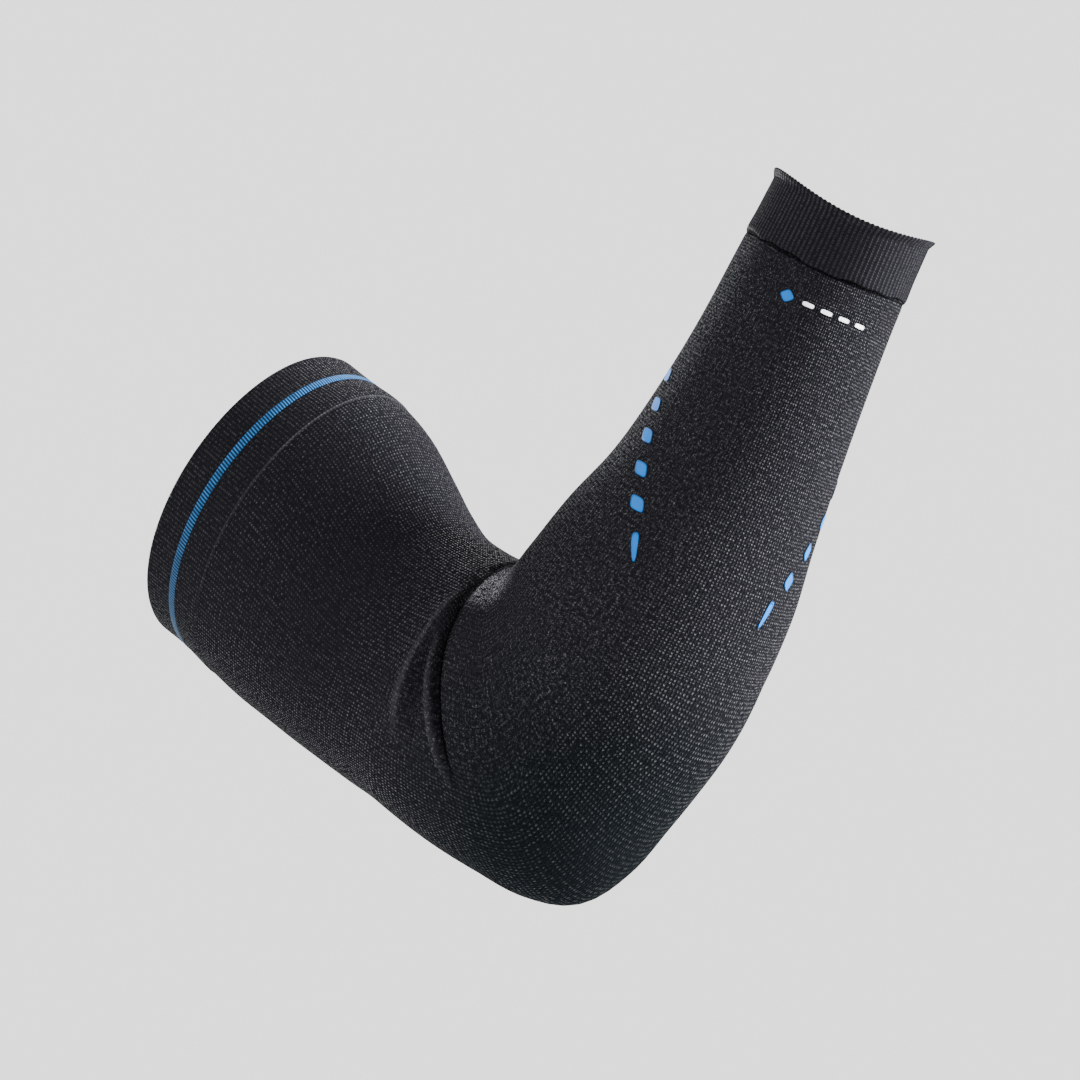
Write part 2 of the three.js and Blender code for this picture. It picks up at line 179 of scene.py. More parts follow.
class SleeveSurface:
    """The outer face of the plain knit, as a place for each distance along and turn round the sleeve.

    A turn of 0 is the crease side, 0.25 the front, 0.5 the outside and 0.75 the back.
    """

    along_step = 0.05
    turn_step = 0.0005
    quarter = 0.25

    def __init__(self, sizes: SleeveSizes) -> None:
        """Work out the axes, the crease line and the section curve from the named sizes."""
        self.sizes = sizes
        s = sizes
        rise = math.radians(s.forearm_rise)
        bend = math.radians(s.elbow_bend)
        self.forearm_axis = direction_at(rise)
        self.upper_arm_axis = direction_at(rise + bend)
        self.out_of_forearm = rise - math.pi / 2
        self.fan_turn = math.pi - bend
        self.towards_front = np.array([0.0, -1.0, 0.0])
        off_forearm = s.forearm_share_in_crease * s.forearm_breadth + s.crease_radius
        off_upper_arm = s.upper_arm_share_in_crease * s.upper_arm_breadth + s.crease_radius
        self.crease_line = (
            self.forearm_axis * off_upper_arm + self.upper_arm_axis * off_forearm
        ) / math.sin(bend)
        self.forearm_straight = s.forearm_reach - float(self.crease_line @ self.forearm_axis)
        self.upper_arm_straight = s.upper_arm_reach - float(self.crease_line @ self.upper_arm_axis)
        self.elbow_length = self.fan_turn * (s.elbow_reach + s.crease_radius) / 2
        self.elbow_end = self.forearm_straight + self.elbow_length
        self.length = self.elbow_end + self.upper_arm_straight
        self.folds = self.fold_rows()
        self.samples = self.section_samples(off_forearm, off_upper_arm)

    def forearm_rows(self) -> list[LimbRow]:
        """List the forearm's sections from the wrist rim to the crease.

        Returns:
            One row for each section.
        """
        s = self.sizes
        wrist = (s.wrist_breadth, s.wrist_depth)
        forearm = (s.forearm_breadth, s.forearm_depth)
        return [
            LimbRow(1.0, *wrist, inner=0.47, outer=0.442, depth=0.5),
            LimbRow(0.81, *wrist, inner=0.478, outer=0.487, depth=0.5),
            LimbRow(0.64, *forearm, inner=0.304, outer=0.343, depth=0.33),
            LimbRow(0.48, *forearm, inner=0.323, outer=0.383, depth=0.366),
            LimbRow(0.32, *forearm, inner=0.36, outer=0.427, depth=0.42),
            LimbRow(0.19, *forearm, inner=0.425, outer=0.471, depth=0.475),
            LimbRow(0.08, *forearm, inner=0.465, outer=0.49, depth=0.5),
            LimbRow(0.0, *forearm, inner=0.49, outer=0.497, depth=0.512),
        ]

    def elbow_rows(self) -> list[ElbowRow]:
        """List the elbow's sections from the forearm to the upper arm.

        Returns:
            One row for each section.
        """
        return [
            ElbowRow(0.17, far=0.836, depth=0.49),
            ElbowRow(0.27, far=0.86, depth=0.49),
            ElbowRow(0.37, far=0.902, depth=0.49),
            ElbowRow(0.47, far=0.966, depth=0.5),
            ElbowRow(0.56, far=1.006, depth=0.5),
            ElbowRow(0.64, far=0.978, depth=0.5),
            ElbowRow(0.74, far=0.918, depth=0.51),
            ElbowRow(0.87, far=0.868, depth=0.52),
        ]

    def upper_arm_rows(self) -> list[LimbRow]:
        """List the upper arm's sections from the crease to the band's rim.

        Returns:
            One row for each section.
        """
        s = self.sizes
        arm = (s.upper_arm_breadth, s.upper_arm_depth)
        return [
            LimbRow(0.0, *arm, inner=0.23, outer=0.566, depth=0.46),
            LimbRow(0.14, *arm, inner=0.22, outer=0.562, depth=0.47),
            LimbRow(0.26, *arm, inner=0.227, outer=0.559, depth=0.475),
            LimbRow(0.38, *arm, inner=0.272, outer=0.556, depth=0.48),
            LimbRow(0.5, *arm, inner=0.333, outer=0.55, depth=0.49),
            LimbRow(0.63, *arm, inner=0.395, outer=0.543, depth=0.5),
            LimbRow(0.76, *arm, inner=0.428, outer=0.526, depth=0.5),
            LimbRow(0.88, *arm, inner=0.434, outer=0.506, depth=0.5),
            LimbRow(1.0, *arm, inner=0.445, outer=0.499, depth=0.49),
        ]

    def fold_rows(self) -> list[Fold]:
        """List the folds from the forearm's side of the crease to the upper arm's.

        Returns:
            The folds.
        """
        return [
            Fold(0.66, lean=0.0, start=0.04, end=0.34, fade=0.1, rise=0.5, width=1.6),
            Fold(0.752, lean=-0.29, start=0.03, end=0.33, fade=0.1, rise=-0.95, width=0.32),
            Fold(0.792, lean=-0.34, start=0.16, end=0.33, fade=0.05, rise=0.6, width=0.32),
            Fold(0.87, lean=-0.24, start=0.14, end=0.32, fade=0.06, rise=-0.3, width=0.5),
            Fold(0.94, lean=-0.12, start=0.1, end=0.31, fade=0.07, rise=0.75, width=0.6),
        ]

    def fold_line(self, fold: Fold, reach: float) -> FoldLine:
        """Give a fold's line on the knit map.

        Args:
            fold: the fold.
            reach: distance from the line where its weight is gone, in decimetres.

        Returns:
            The line.
        """
        length = self.elbow_length / DECIMETRE
        start = self.forearm_straight / DECIMETRE + length * (fold.at - fold.lean)
        return FoldLine(start, length * fold.lean / self.quarter, fold.start, fold.end, reach)

    def section_samples(self, off_forearm: float, off_upper_arm: float) -> Places:
        """Turn the rows into places along with their near, far and half depth.

        Args:
            off_forearm: distance of the crease line from the forearm's axis.
            off_upper_arm: distance of the crease line from the upper arm's axis.

        Returns:
            One row for each section.
        """
        s = self.sizes
        rows = [
            (
                self.forearm_straight * (1 - row.at),
                off_forearm - row.inner * row.breadth,
                off_forearm + row.outer * row.breadth,
                row.depth * row.deep,
            )
            for row in self.forearm_rows()
        ]
        rows += [
            (
                self.forearm_straight + self.elbow_length * row.at,
                s.crease_radius,
                row.far * s.elbow_reach,
                row.depth * s.elbow_depth,
            )
            for row in self.elbow_rows()
        ]
        rows += [
            (
                self.elbow_end + self.upper_arm_straight * row.at,
                off_upper_arm - row.inner * row.breadth,
                off_upper_arm + row.outer * row.breadth,
                row.depth * row.deep,
            )
            for row in self.upper_arm_rows()
        ]
        return np.array(rows)

    def section(self, along: Places) -> tuple[Places, Places, Places]:
        """Read near, far and half depth from the smooth curve through the sections.

        Args:
            along: places along the sleeve.

        Returns:
            Near, far and half depth at each place.
        """
        places, values = self.samples[:, 0], self.samples[:, 1:]
        secants = np.diff(values, axis=0) / np.diff(places)[:, None]
        slopes = np.vstack([secants[:1], (secants[1:] + secants[:-1]) / 2, secants[-1:]])
        low = np.clip(np.searchsorted(places, along, side="right") - 1, 0, len(places) - 2)
        span = places[low + 1] - places[low]
        part = np.clip((along - places[low]) / span, 0.0, 1.0)
        part, span = part[:, None], span[:, None]
        square, cube = part**2, part**3
        result = (
            (2 * cube - 3 * square + 1) * values[low]
            + (cube - 2 * square + part) * span * slopes[low]
            + (3 * square - 2 * cube) * values[low + 1]
            + (cube - square) * span * slopes[low + 1]
        )
        return result[:, 0], result[:, 1], result[:, 2]

    def plain_point(self, along: Places, turn: Places) -> Places:
        """Place points on the inner face of the plain section.

        Args:
            along: places along the sleeve.
            turn: turns round it.

        Returns:
            One point for each pair, in millimetres.
        """
        s = self.sizes
        near, far, depth = self.section(along)
        share = np.clip((along - self.forearm_straight) / self.elbow_length, 0.0, 1.0)
        wrist = 1.0 - smooth_share(along, 0.0, self.forearm_straight)
        band = smooth_share(along, self.elbow_end, self.length)
        foot = (
            self.crease_line
            + np.outer(np.maximum(self.forearm_straight - along, 0.0), self.forearm_axis)
            + np.outer(np.maximum(along - self.elbow_end, 0.0), self.upper_arm_axis)
        )
        outward = direction_at(
            self.out_of_forearm
            - self.fan_turn * share
            + math.radians(s.wrist_lean) * wrist
            - math.radians(s.band_lean) * band
        )
        angle = 2 * math.pi * turn
        front = np.sin(angle)
        bow = s.wrist_bow * (1.0 - smooth_share(along, 0.0, s.wrist_bow_reach))
        bowed = np.sin(angle - 2 * math.pi * s.wrist_bow_turn) ** 2
        drop = s.wrist_back_drop * wrist * ((1 - front) / 2) ** 2 + bow * bowed
        foot = foot - np.outer(drop, self.forearm_axis)
        reach = (near + far) / 2 - (far - near) / 2 * np.cos(angle)
        return foot + outward * reach[:, None] + np.outer(depth * front, self.towards_front)

    def fold_lift(self, along: Places, turn: Places) -> Places:
        """Sum the heights of the folds over the plain section.

        Args:
            along: places along the sleeve.
            turn: turns round it.

        Returns:
            One height for each pair.
        """
        s = self.sizes
        near, far, _ = self.section(along)
        side = np.abs(turn - np.round(turn))
        radius = (near + far) / 2 - (far - near) / 2 * np.cos(2 * math.pi * turn)
        share = np.clip((along - self.forearm_straight) / self.elbow_length, 0.0, 1.0)
        beyond = np.maximum(along - self.elbow_end, 0.0) - np.maximum(self.forearm_straight - along, 0.0)
        lift = np.zeros_like(along)
        for fold in self.folds:
            place = fold.at + fold.lean * (side / self.quarter - 1)
            across = (share - place) * self.fan_turn * radius + beyond
            ridge = np.exp(-((across / (fold.width * s.fold_width)) ** 2))
            start = smooth_share(side, fold.start, fold.start + fold.fade)
            end = 1.0 - smooth_share(side, fold.end - fold.fade, fold.end)
            lift += fold.rise * s.fold_height * ridge * start * end
        return lift * np.minimum(radius / s.fold_free_radius, 1.0)

    def point(self, along: Places, turn: Places, lift: Places) -> Places:
        """Place points outside the plain knit's outer face.

        Args:
            along: places along the sleeve.
            turn: turns round it.
            lift: heights over the face.

        Returns:
            One point for each, in millimetres.
        """
        step, turn_step = self.along_step, self.turn_step
        lengthwise = self.plain_point(along + step, turn) - self.plain_point(along - step, turn)
        roundwise = self.plain_point(along, turn + turn_step) - self.plain_point(along, turn - turn_step)
        normal = np.cross(lengthwise, roundwise)
        normal /= np.linalg.norm(normal, axis=1)[:, None]
        height = self.sizes.body_wall + lift + self.fold_lift(along, turn)
        return self.plain_point(along, turn) + normal * height[:, None]

    def metres(self, along: float, turn: float) -> Place:
        """Give one place on the plain knit's outer face, in metres."""
        point = self.point(np.array([along]), np.array([turn]), np.zeros(1))[0] * MM
        return float(point[0]), float(point[1]), float(point[2])

    def girth(self, along: float) -> float:
        """Give the length round the sleeve at one place along it.

        Args:
            along: the place along.

        Returns:
            The length, in millimetres.
        """
        near, far, depth = self.section(np.array([along]))
        half, deep = float(far[0] - near[0]) / 2, float(depth[0])
        return math.pi * (3 * (half + deep) - math.sqrt((3 * half + deep) * (half + 3 * deep)))


@dataclass
class Sketch:
    """A node tree under construction, with short ways to add the nodes that the finishes share."""

    material: bpy.types.Material

    def __post_init__(self) -> None:
        """Clear the tree and add the shader and its output."""
        self.material.use_nodes = True
        self.tree = self.material.node_tree
        self.tree.nodes.clear()
        self.shader = self.tree.nodes.new("ShaderNodeBsdfPrincipled")
        output = self.tree.nodes.new("ShaderNodeOutputMaterial")
        self.link(self.shader.outputs["BSDF"], output.inputs["Surface"])

    def link(self, source: bpy.types.NodeSocket, target: bpy.types.NodeSocket) -> None:
        """Join two sockets."""
        self.tree.links.new(source, target)

    def feed(self, target: bpy.types.NodeSocket, value: Value) -> None:
        """Link a socket or set a number or colour, whichever the value is.

        Args:
            target: the socket to feed.
            value: a socket, number or colour, or None to leave it.
        """
        if isinstance(value, bpy.types.NodeSocket):
            self.link(value, target)
        elif value is not None:
            target.default_value = value

    def maths(self, operation: str, first: Value, second: Value = None, third: Value = None) -> Socket:
        """Add a Math node and give its result.

        Args:
            operation: the node's operation.
            first: a socket or number.
            second: a socket or number, where the operation takes one.
            third: a socket or number, where the operation takes one.

        Returns:
            The node's output socket.
        """
        node = self.tree.nodes.new("ShaderNodeMath")
        node.operation = operation
        for target, value in zip(node.inputs, (first, second, third)):
            self.feed(target, value)
        return node.outputs[0]

    def product(self, *values: Value) -> Value:
        """Multiply values together, from the first to the last.

        Args:
            values: sockets or numbers.

        Returns:
            The product.
        """
        result = values[0]
        for value in values[1:]:
            result = self.maths("MULTIPLY", result, value)
        return result

    def rest(self, weight: Value) -> Socket:
        """Give what a weight leaves of 1."""
        return self.maths("SUBTRACT", 1.0, weight)

    def blend(self, factor: Value, first: Value, second: Value) -> Socket:
        """Mix two colours by a factor.

        Args:
            factor: a socket or number.
            first: the colour at 0, a socket or an RGB triple.
            second: the colour at 1.

        Returns:
            The mixed colour's socket.
        """
        node = self.tree.nodes.new("ShaderNodeMix")
        node.data_type = "RGBA"
        self.feed(node.inputs[0], factor)
        for target, value in ((node.inputs[6], first), (node.inputs[7], second)):
            self.feed(target, (*value, 1.0) if isinstance(value, tuple) else value)
        return node.outputs[2]

    def span(
        self, value: Value, low: float, high: float, out_low: float = 0.0, out_high: float = 1.0
    ) -> Socket:
        """Map a value smoothly from one range to another.

        Args:
            value: the socket to map.
            low: value that gives out_low.
            high: value that gives out_high.
            out_low: result at low.
            out_high: result at high.

        Returns:
            The mapped socket.
        """
        node = self.tree.nodes.new("ShaderNodeMapRange")
        node.interpolation_type = "SMOOTHSTEP"
        self.feed(node.inputs[0], value)
        for index, number in enumerate((low, high, out_low, out_high), start=1):
            node.inputs[index].default_value = number
        return node.outputs[0]

    def noise(self, vector: Value, scale: float, detail: float = 2.0, roughness: float = 0.5) -> Socket:
        """Add a noise texture and give its value.

        Args:
            vector: the coordinates.
            scale: cells for each unit.
            detail: octaves.
            roughness: weight of the finer octaves.

        Returns:
            The noise value's socket.
        """
        node = self.tree.nodes.new("ShaderNodeTexNoise")
        self.feed(node.inputs["Vector"], vector)
        node.inputs["Scale"].default_value = scale
        node.inputs["Detail"].default_value = detail
        node.inputs["Roughness"].default_value = roughness
        return node.outputs[0]

    def knit_places(self) -> tuple[Socket, Socket]:
        """Give the turn round the sleeve and the place along it from the piece's own UV map.

        Returns:
            The two sockets.
        """
        coordinates = self.tree.nodes.new("ShaderNodeUVMap")
        coordinates.uv_map = UV_NAME
        turn, along, _ = self.split(coordinates.outputs[0])
        return turn, along

    def object_places(self) -> Socket:
        """Give the piece's Object coordinates, in metres."""
        return self.tree.nodes.new("ShaderNodeTexCoord").outputs["Object"]

    def split(self, vector: Socket) -> tuple[Socket, Socket, Socket]:
        """Take a vector apart.

        Args:
            vector: the vector's socket.

        Returns:
            The sockets of its three parts.
        """
        node = self.tree.nodes.new("ShaderNodeSeparateXYZ")
        self.link(vector, node.inputs[0])
        return node.outputs[0], node.outputs[1], node.outputs[2]

    def vector(self, x: Value, y: Value, z: Value = 0.0) -> Socket:
        """Combine three values into one vector.

        Args:
            x: the first part.
            y: the second part.
            z: the third part.

        Returns:
            The vector's socket.
        """
        node = self.tree.nodes.new("ShaderNodeCombineXYZ")
        for target, value in zip(node.inputs, (x, y, z)):
            self.feed(target, value)
        return node.outputs[0]

    def bump(self, height: Value, strength: float, distance: float, below: Value = None) -> Socket:
        """Add a bump and give its normal.

        Args:
            height: the height socket.
            strength: share of the full effect.
            distance: depth of a full step, in metres.
            below: normal that this one builds on, if any.

        Returns:
            The normal's socket.
        """
        node = self.tree.nodes.new("ShaderNodeBump")
        node.inputs["Strength"].default_value = strength
        node.inputs["Distance"].default_value = distance
        self.feed(node.inputs["Height"], height)
        self.feed(node.inputs["Normal"], below)
        return node.outputs[0]

    def set(self, socket: str, value: Value) -> None:
        """Set or link one of the shader's own sockets."""
        self.feed(self.shader.inputs[socket], value)


@dataclass
class KnitSketch(Sketch):
    """A sketch for knit, with its coordinates at hand.

    They are the turn round the sleeve, the place along it in decimetres, and the place in space and
    the height, both in metres.
    """

    def __post_init__(self) -> None:
        """Add the coordinates to the cleared tree."""
        super().__post_init__()
        self.turn, self.along = self.knit_places()
        self.places = self.object_places()
        self.height = self.split(self.places)[2]

    def near(self, centre: Place, reach: float, most: float) -> Socket:
        """Weigh the knit round a place, full within a quarter of the reach and gone beyond it.

        Args:
            centre: the place, in metres.
            reach: distance where the weight is gone.
            most: weight at the place.

        Returns:
            The weight's socket.
        """
        node = self.tree.nodes.new("ShaderNodeVectorMath")
        node.operation = "DISTANCE"
        self.feed(node.inputs[0], self.places)
        node.inputs[1].default_value = centre
        return self.span(node.outputs["Value"], reach, reach / 4, 0.0, most)

    def at_line(self, line: Value, reach: float, most: float) -> Socket:
        """Weigh the knit at a line round the sleeve, full within a fifth of the reach.

        Args:
            line: the line's place along, in decimetres.
            reach: distance where the weight is gone.
            most: weight on the line itself.

        Returns:
            The weight's socket.
        """
        distance = self.maths("ABSOLUTE", self.maths("SUBTRACT", self.along, line))
        return self.span(distance, reach, reach / 5, 0.0, most)

    def at_fold(self, line: FoldLine, most: float) -> Socket:
        """Weigh the knit at a fold's line, on both sides of the sleeve.

        Args:
            line: the fold's line.
            most: weight on the line itself.

        Returns:
            The weight's socket.
        """
        side = self.maths("MINIMUM", self.turn, self.rest(self.turn))
        place = self.maths("MULTIPLY_ADD", side, line.slope, line.start)
        return self.product(
            self.at_line(place, line.reach, most),
            self.span(side, line.first, line.first + FOLD_FADE),
            self.span(side, line.last, line.last - FOLD_FADE),
        )


@dataclass(frozen=True)
class KnitFinish:
    """Near-black weft knit: columns of stitches along the arm, flecks of lighter yarn and a soft sheen.

    Columns are counted round the sleeve and courses in a decimetre along it. Seams and the elbow's
    end are places along in decimetres. What is NOWHERE isn't drawn. A touch is the reach of a weight
    and its most.
    """

    name: str
    columns: float
    courses: float
    yarn: Colour = (0.0048, 0.0048, 0.006)
    fleck: Colour = (0.13, 0.13, 0.145)
    fleck_share: float = 0.3
    fleck_rarity: Pair = (0.4, 0.68)
    line_share: float = 0.2
    grain: float = 0.0
    relief: float = 0.00026
    roughness: float = 0.55
    gloss: float = 0.52
    sheen: float = 0.06
    sheen_roughness: float = 0.3
    sheen_tint: Colour = (0.8, 0.82, 0.88)
    # Painted highlight: a lighter line at the seam with the band, fading out below.
    seam_highlight: float = NOWHERE
    seam_highlight_touch: Pair = (0.006, 0.1)
    # Painted shadow: a dark line at the seam under the cuff, in the shadow colour.
    seam_shadow: float = NOWHERE
    seam_shadow_touch: Pair = (0.013, 0.7)
    shadow: Colour = (0.0008, 0.0008, 0.001)
    elbow_end: float = NOWHERE
    calm_run: float = 0.3
    calm_share: float = 0.5
    # Painted shade: fewer flecks round this place beside the crease.
    shaded_place: Place = (NOWHERE, NOWHERE, NOWHERE)
    shaded_touch: Pair = (0.05, 0.45)
    # Teal under the elbow, darker than the yarn: partly the knit's tint, partly painted shade of the
    # underside.
    teal_and_shade: Colour = (0.0025, 0.0033, 0.0039)
    teal_and_shade_place: Place = (0.01, -0.02, -0.05)
    teal_and_shade_touch: Pair = (0.09, 1.0)
    # Painted highlight: light specks at these places beside the crease.
    highlight_places: tuple[Place, ...] = ()
    highlight_touch: Pair = (0.013, 0.95)
    highlight_ends: Pair = (0.04, 0.12)
    rubbed: Colour = (0.68, 0.68, 0.73)
    # Painted highlight on the folds' crests: more flecks and a lighter ground.
    crests: tuple[FoldLine, ...] = ()
    crest_highlight_flecks: float = 0.2
    crest_highlight: float = 0.06
    # Painted shadow in the folds' grooves, in the shadow colour.
    grooves: tuple[FoldLine, ...] = ()
    groove_most: float = 0.75
    grain_turns: Pair = (0.36, 0.26)
    grain_fade: float = 0.1
    leg_slope: float = 1.1
    crown: Pair = (0.5, 0.12)
    sharpness: float = 2.8
    stitch_noise: Noise = (0.9, 2.0, 0.7)
    patch_noise: Noise = (34.0, 3.0, 0.6)
    patch_ends: Pair = (0.3, 0.7)
    patch_least: float = 0.55
    grain_noise: Noise = (3000.0, 1.0, 0.5)
    grain_ends: Pair = (0.5, 0.7)
    fuzz_noise: Noise = (2600.0, 1.0, 0.5)
    fuzz_strength: float = 0.25
    relief_strength: float = 0.9
    # Painted shade: fewer flecks low down on the sleeve.
    flecks_shaded_below: Span = (-0.065, 0.02, 0.25, 1.0)
    light_by_height: Span = (-0.055, 0.01, 0.1, 1.0)
    seam_highlight_by_height: Pair = (0.0, 0.1)

    def build(self) -> bpy.types.Material:
        """Build the material.

        Returns:
            The knit material.
        """
        sketch = KnitSketch(bpy.data.materials.new(self.name))
        relief, top = self.stitches(sketch)
        bright = sketch.product(self.specks(sketch, top), self.rare(sketch))
        calm_end = self.elbow_end + self.calm_run
        calm = sketch.span(sketch.along, self.elbow_end, calm_end, 1.0, self.calm_share)
        # Weight of the painted highlight on the folds' crests.
        crest = self.crest(sketch)
        # Painted shadow at the seam under the cuff and in the folds' grooves.
        dark = self.dark(sketch)
        speckle = sketch.product(bright, self.speckle_share(sketch, calm, crest))
        colour = sketch.blend(speckle, self.ground(sketch, crest), self.fleck)
        # Painted highlights beside the crease lighten the specks here.
        sketch.set("Base Color", sketch.blend(dark, self.paint_highlights(sketch, bright, colour), self.shadow))
        by_height = sketch.span(sketch.height, *self.light_by_height)
        lit = sketch.product(bright, sketch.rest(dark), by_height, calm)
        sketch.set("Roughness", sketch.span(top, 0.0, 1.0, 1.0, self.roughness))
        sketch.set("Specular IOR Level", sketch.product(lit, self.gloss))
        sketch.set("Sheen Weight", sketch.product(lit, self.sheen))
        sketch.set("Sheen Roughness", self.sheen_roughness)
        sketch.set("Sheen Tint", (*self.sheen_tint, 1.0))
        fuzz = sketch.noise(sketch.places, *self.fuzz_noise)
        fuzz = sketch.bump(fuzz, self.fuzz_strength, self.relief / 2)
        sketch.set("Normal", sketch.bump(relief, self.relief_strength, self.relief, fuzz))
        return sketch.material

    def grid(self, sketch: KnitSketch) -> tuple[Socket, Socket]:
        """Count the columns round to each place and the courses along to it."""
        return sketch.product(sketch.turn, self.columns), sketch.product(sketch.along, self.courses)

    def stitches(self, sketch: KnitSketch) -> tuple[Socket, Socket]:
        """Draw the stitches: legs that lean in pairs in each column.

        Args:
            sketch: the tree.

        Returns:
            The height of the knit, and the tops of the stitches.
        """
        column, course = self.grid(sketch)
        across = sketch.maths("ABSOLUTE", sketch.maths("SUBTRACT", sketch.maths("FRACT", column), 0.5))
        leg = sketch.maths("ADD", course, sketch.product(across, self.leg_slope))
        wave = sketch.maths("COSINE", sketch.product(leg, 2 * math.pi))
        loop = sketch.maths("MULTIPLY_ADD", wave, 0.5, 0.5)
        crown = sketch.span(across, *self.crown)
        line = sketch.maths("MULTIPLY_ADD", loop, 1.0 - self.line_share, self.line_share)
        relief = sketch.product(crown, sketch.maths("MULTIPLY_ADD", loop, 0.5, 0.5))
        return relief, sketch.product(crown, line)

    def rare(self, sketch: KnitSketch) -> Socket:
        """Pick the stitches that catch the light, by a noise with about one value a stitch.

        Args:
            sketch: the tree.

        Returns:
            The weight's socket.
        """
        cells = sketch.noise(sketch.vector(*self.grid(sketch)), *self.stitch_noise)
        return sketch.span(cells, *self.fleck_rarity)

    def specks(self, sketch: KnitSketch, top: Socket) -> Socket:
        """Blend the regular stitch tops into an uneven grain on the inner half of the forearm and elbow.

        Args:
            sketch: the tree.
            top: the tops of the stitches.

        Returns:
            The weight of the light yarn before some stitches are picked.
        """
        sharp = sketch.maths("POWER", top, self.sharpness)
        if not self.grain:
            return sharp
        uneven = sketch.span(sketch.noise(sketch.places, *self.grain_noise), *self.grain_ends)
        low, high = self.elbow_end + self.grain_fade, self.elbow_end - self.grain_fade
        turned = sketch.span(sketch.turn, *self.grain_turns)
        inner = sketch.product(turned, self.grain, sketch.span(sketch.along, low, high))
        return sketch.maths("MULTIPLY_ADD", uneven, inner, sketch.product(sharp, sketch.rest(inner)))

    def crest(self, sketch: KnitSketch) -> Value:
        """Add up the weights of the folds' crests, where a highlight is painted.

        Args:
            sketch: the tree.

        Returns:
            The weight's socket, or 0 where there is no crest.
        """
        weight = 0.0
        for line in self.crests:
            weight = sketch.maths("ADD", sketch.at_fold(line, 1.0), weight)
        return weight

    def dark(self, sketch: KnitSketch) -> Socket:
        """Weigh the painted shadow at the seam under the cuff and in the folds' grooves.

        Args:
            sketch: the tree.

        Returns:
            The weight's socket.
        """
        weight = sketch.at_line(self.seam_shadow, *self.seam_shadow_touch)
        for line in self.grooves:
            weight = sketch.maths("MAXIMUM", weight, sketch.at_fold(line, self.groove_most))
        return weight

    def speckle_share(self, sketch: KnitSketch, calm: Socket, crest: Value) -> Socket:
        """Give the share of light yarn: in patches, fewer as painted shade below and by the crease, more on
        a crest.

        Args:
            sketch: the tree.
            calm: share of the specks that is left beyond the elbow.
            crest: weight of the folds' crests.

        Returns:
            The share's socket.
        """
        patches = sketch.noise(sketch.places, *self.patch_noise)
        share = sketch.product(
            sketch.span(patches, *self.patch_ends, self.fleck_share * self.patch_least, self.fleck_share),
            sketch.span(sketch.height, *self.flecks_shaded_below),
            sketch.rest(sketch.near(self.shaded_place, *self.shaded_touch)),
            calm,
        )
        return sketch.maths("MULTIPLY_ADD", crest, self.crest_highlight_flecks, share)

    def ground(self, sketch: KnitSketch, crest: Value) -> Socket:
        """Colour the ground of the knit: teal and darker under the elbow, partly as painted shade, and
        lighter at the band seam and on a crest as painted highlights.

        Args:
            sketch: the tree.
            crest: weight of the folds' crests.

        Returns:
            The colour's socket.
        """
        # Teal and darker under the elbow: the knit's tint and painted shade of the underside.
        colour = sketch.blend(sketch.near(self.teal_and_shade_place, *self.teal_and_shade_touch), self.yarn, self.teal_and_shade)
        # Painted highlight along the band seam, fading out below.
        seam = sketch.at_line(self.seam_highlight, *self.seam_highlight_touch)
        light = sketch.product(seam, sketch.span(sketch.height, *self.seam_highlight_by_height))
        light = sketch.maths("MULTIPLY_ADD", crest, self.crest_highlight, light)
        return sketch.blend(light, colour, self.fleck)

    def paint_highlights(self, sketch: KnitSketch, bright: Socket, colour: Socket) -> Socket:
        """Paint highlights: lighten the specks at the lit places beside the crease, on the forearm's side
        of the elbow's end.

        Args:
            sketch: the tree.
            bright: weight of the light yarn.
            colour: the colour so far.

        Returns:
            The colour's socket.
        """
        low, high = (self.elbow_end - end for end in self.highlight_ends)
        fore_side = sketch.span(sketch.along, low, high)
        for place in self.highlight_places:
            highlight_weight = sketch.product(bright, sketch.near(place, *self.highlight_touch), fore_side)
            colour = sketch.blend(highlight_weight, colour, self.rubbed)
        return colour


@dataclass(frozen=True)
class StripeFinish:
    """Light blue yarn knitted in: fine slanted ticks, with painted shade that makes it greyer towards the
    underside.
    """

    name: str = "stripe_yarn"
    bright: Colour = (0.012, 0.1, 0.28)
    # Shaded copy of the blue, used low down as painted shade.
    dull: Colour = (0.016, 0.045, 0.085)
    gap: Colour = (0.001, 0.008, 0.02)
    ticks: float = 300.0
    lean: float = 14.0
    tick_ends: Pair = (-0.2, 0.7)
    bright_heights: Pair = (0.02, 0.1)
    patch_noise: Noise = (300.0, 2.0, 0.6)
    patch_span: Span = (0.25, 0.6, 0.55, 1.0)
    relief_strength: float = 0.7
    relief: float = 0.0002

    def build(self) -> bpy.types.Material:
        """Build the material.

        Returns:
            The stripe's material.
        """
        sketch = KnitSketch(bpy.data.materials.new(self.name))
        leaned = sketch.product(sketch.along, self.lean)
        slant = sketch.maths("MULTIPLY_ADD", sketch.turn, self.ticks, leaned)
        wave = sketch.maths("COSINE", sketch.product(slant, 2 * math.pi))
        tick = sketch.span(wave, *self.tick_ends)
        # Painted shade: the blue turns duller and greyer low down.
        yarn = sketch.blend(sketch.span(sketch.height, *self.bright_heights), self.dull, self.bright)
        patches = sketch.noise(sketch.places, *self.patch_noise)
        shade = sketch.product(tick, sketch.span(patches, *self.patch_span))
        sketch.set("Base Color", sketch.blend(shade, self.gap, yarn))
        sketch.set("Roughness", 0.7)
        sketch.set("Specular IOR Level", 0.05)
        sketch.set("Sheen Weight", 0.02)
        sketch.set("Sheen Roughness", 0.4)
        sketch.set("Normal", sketch.bump(tick, self.relief_strength, self.relief))
        return sketch.material


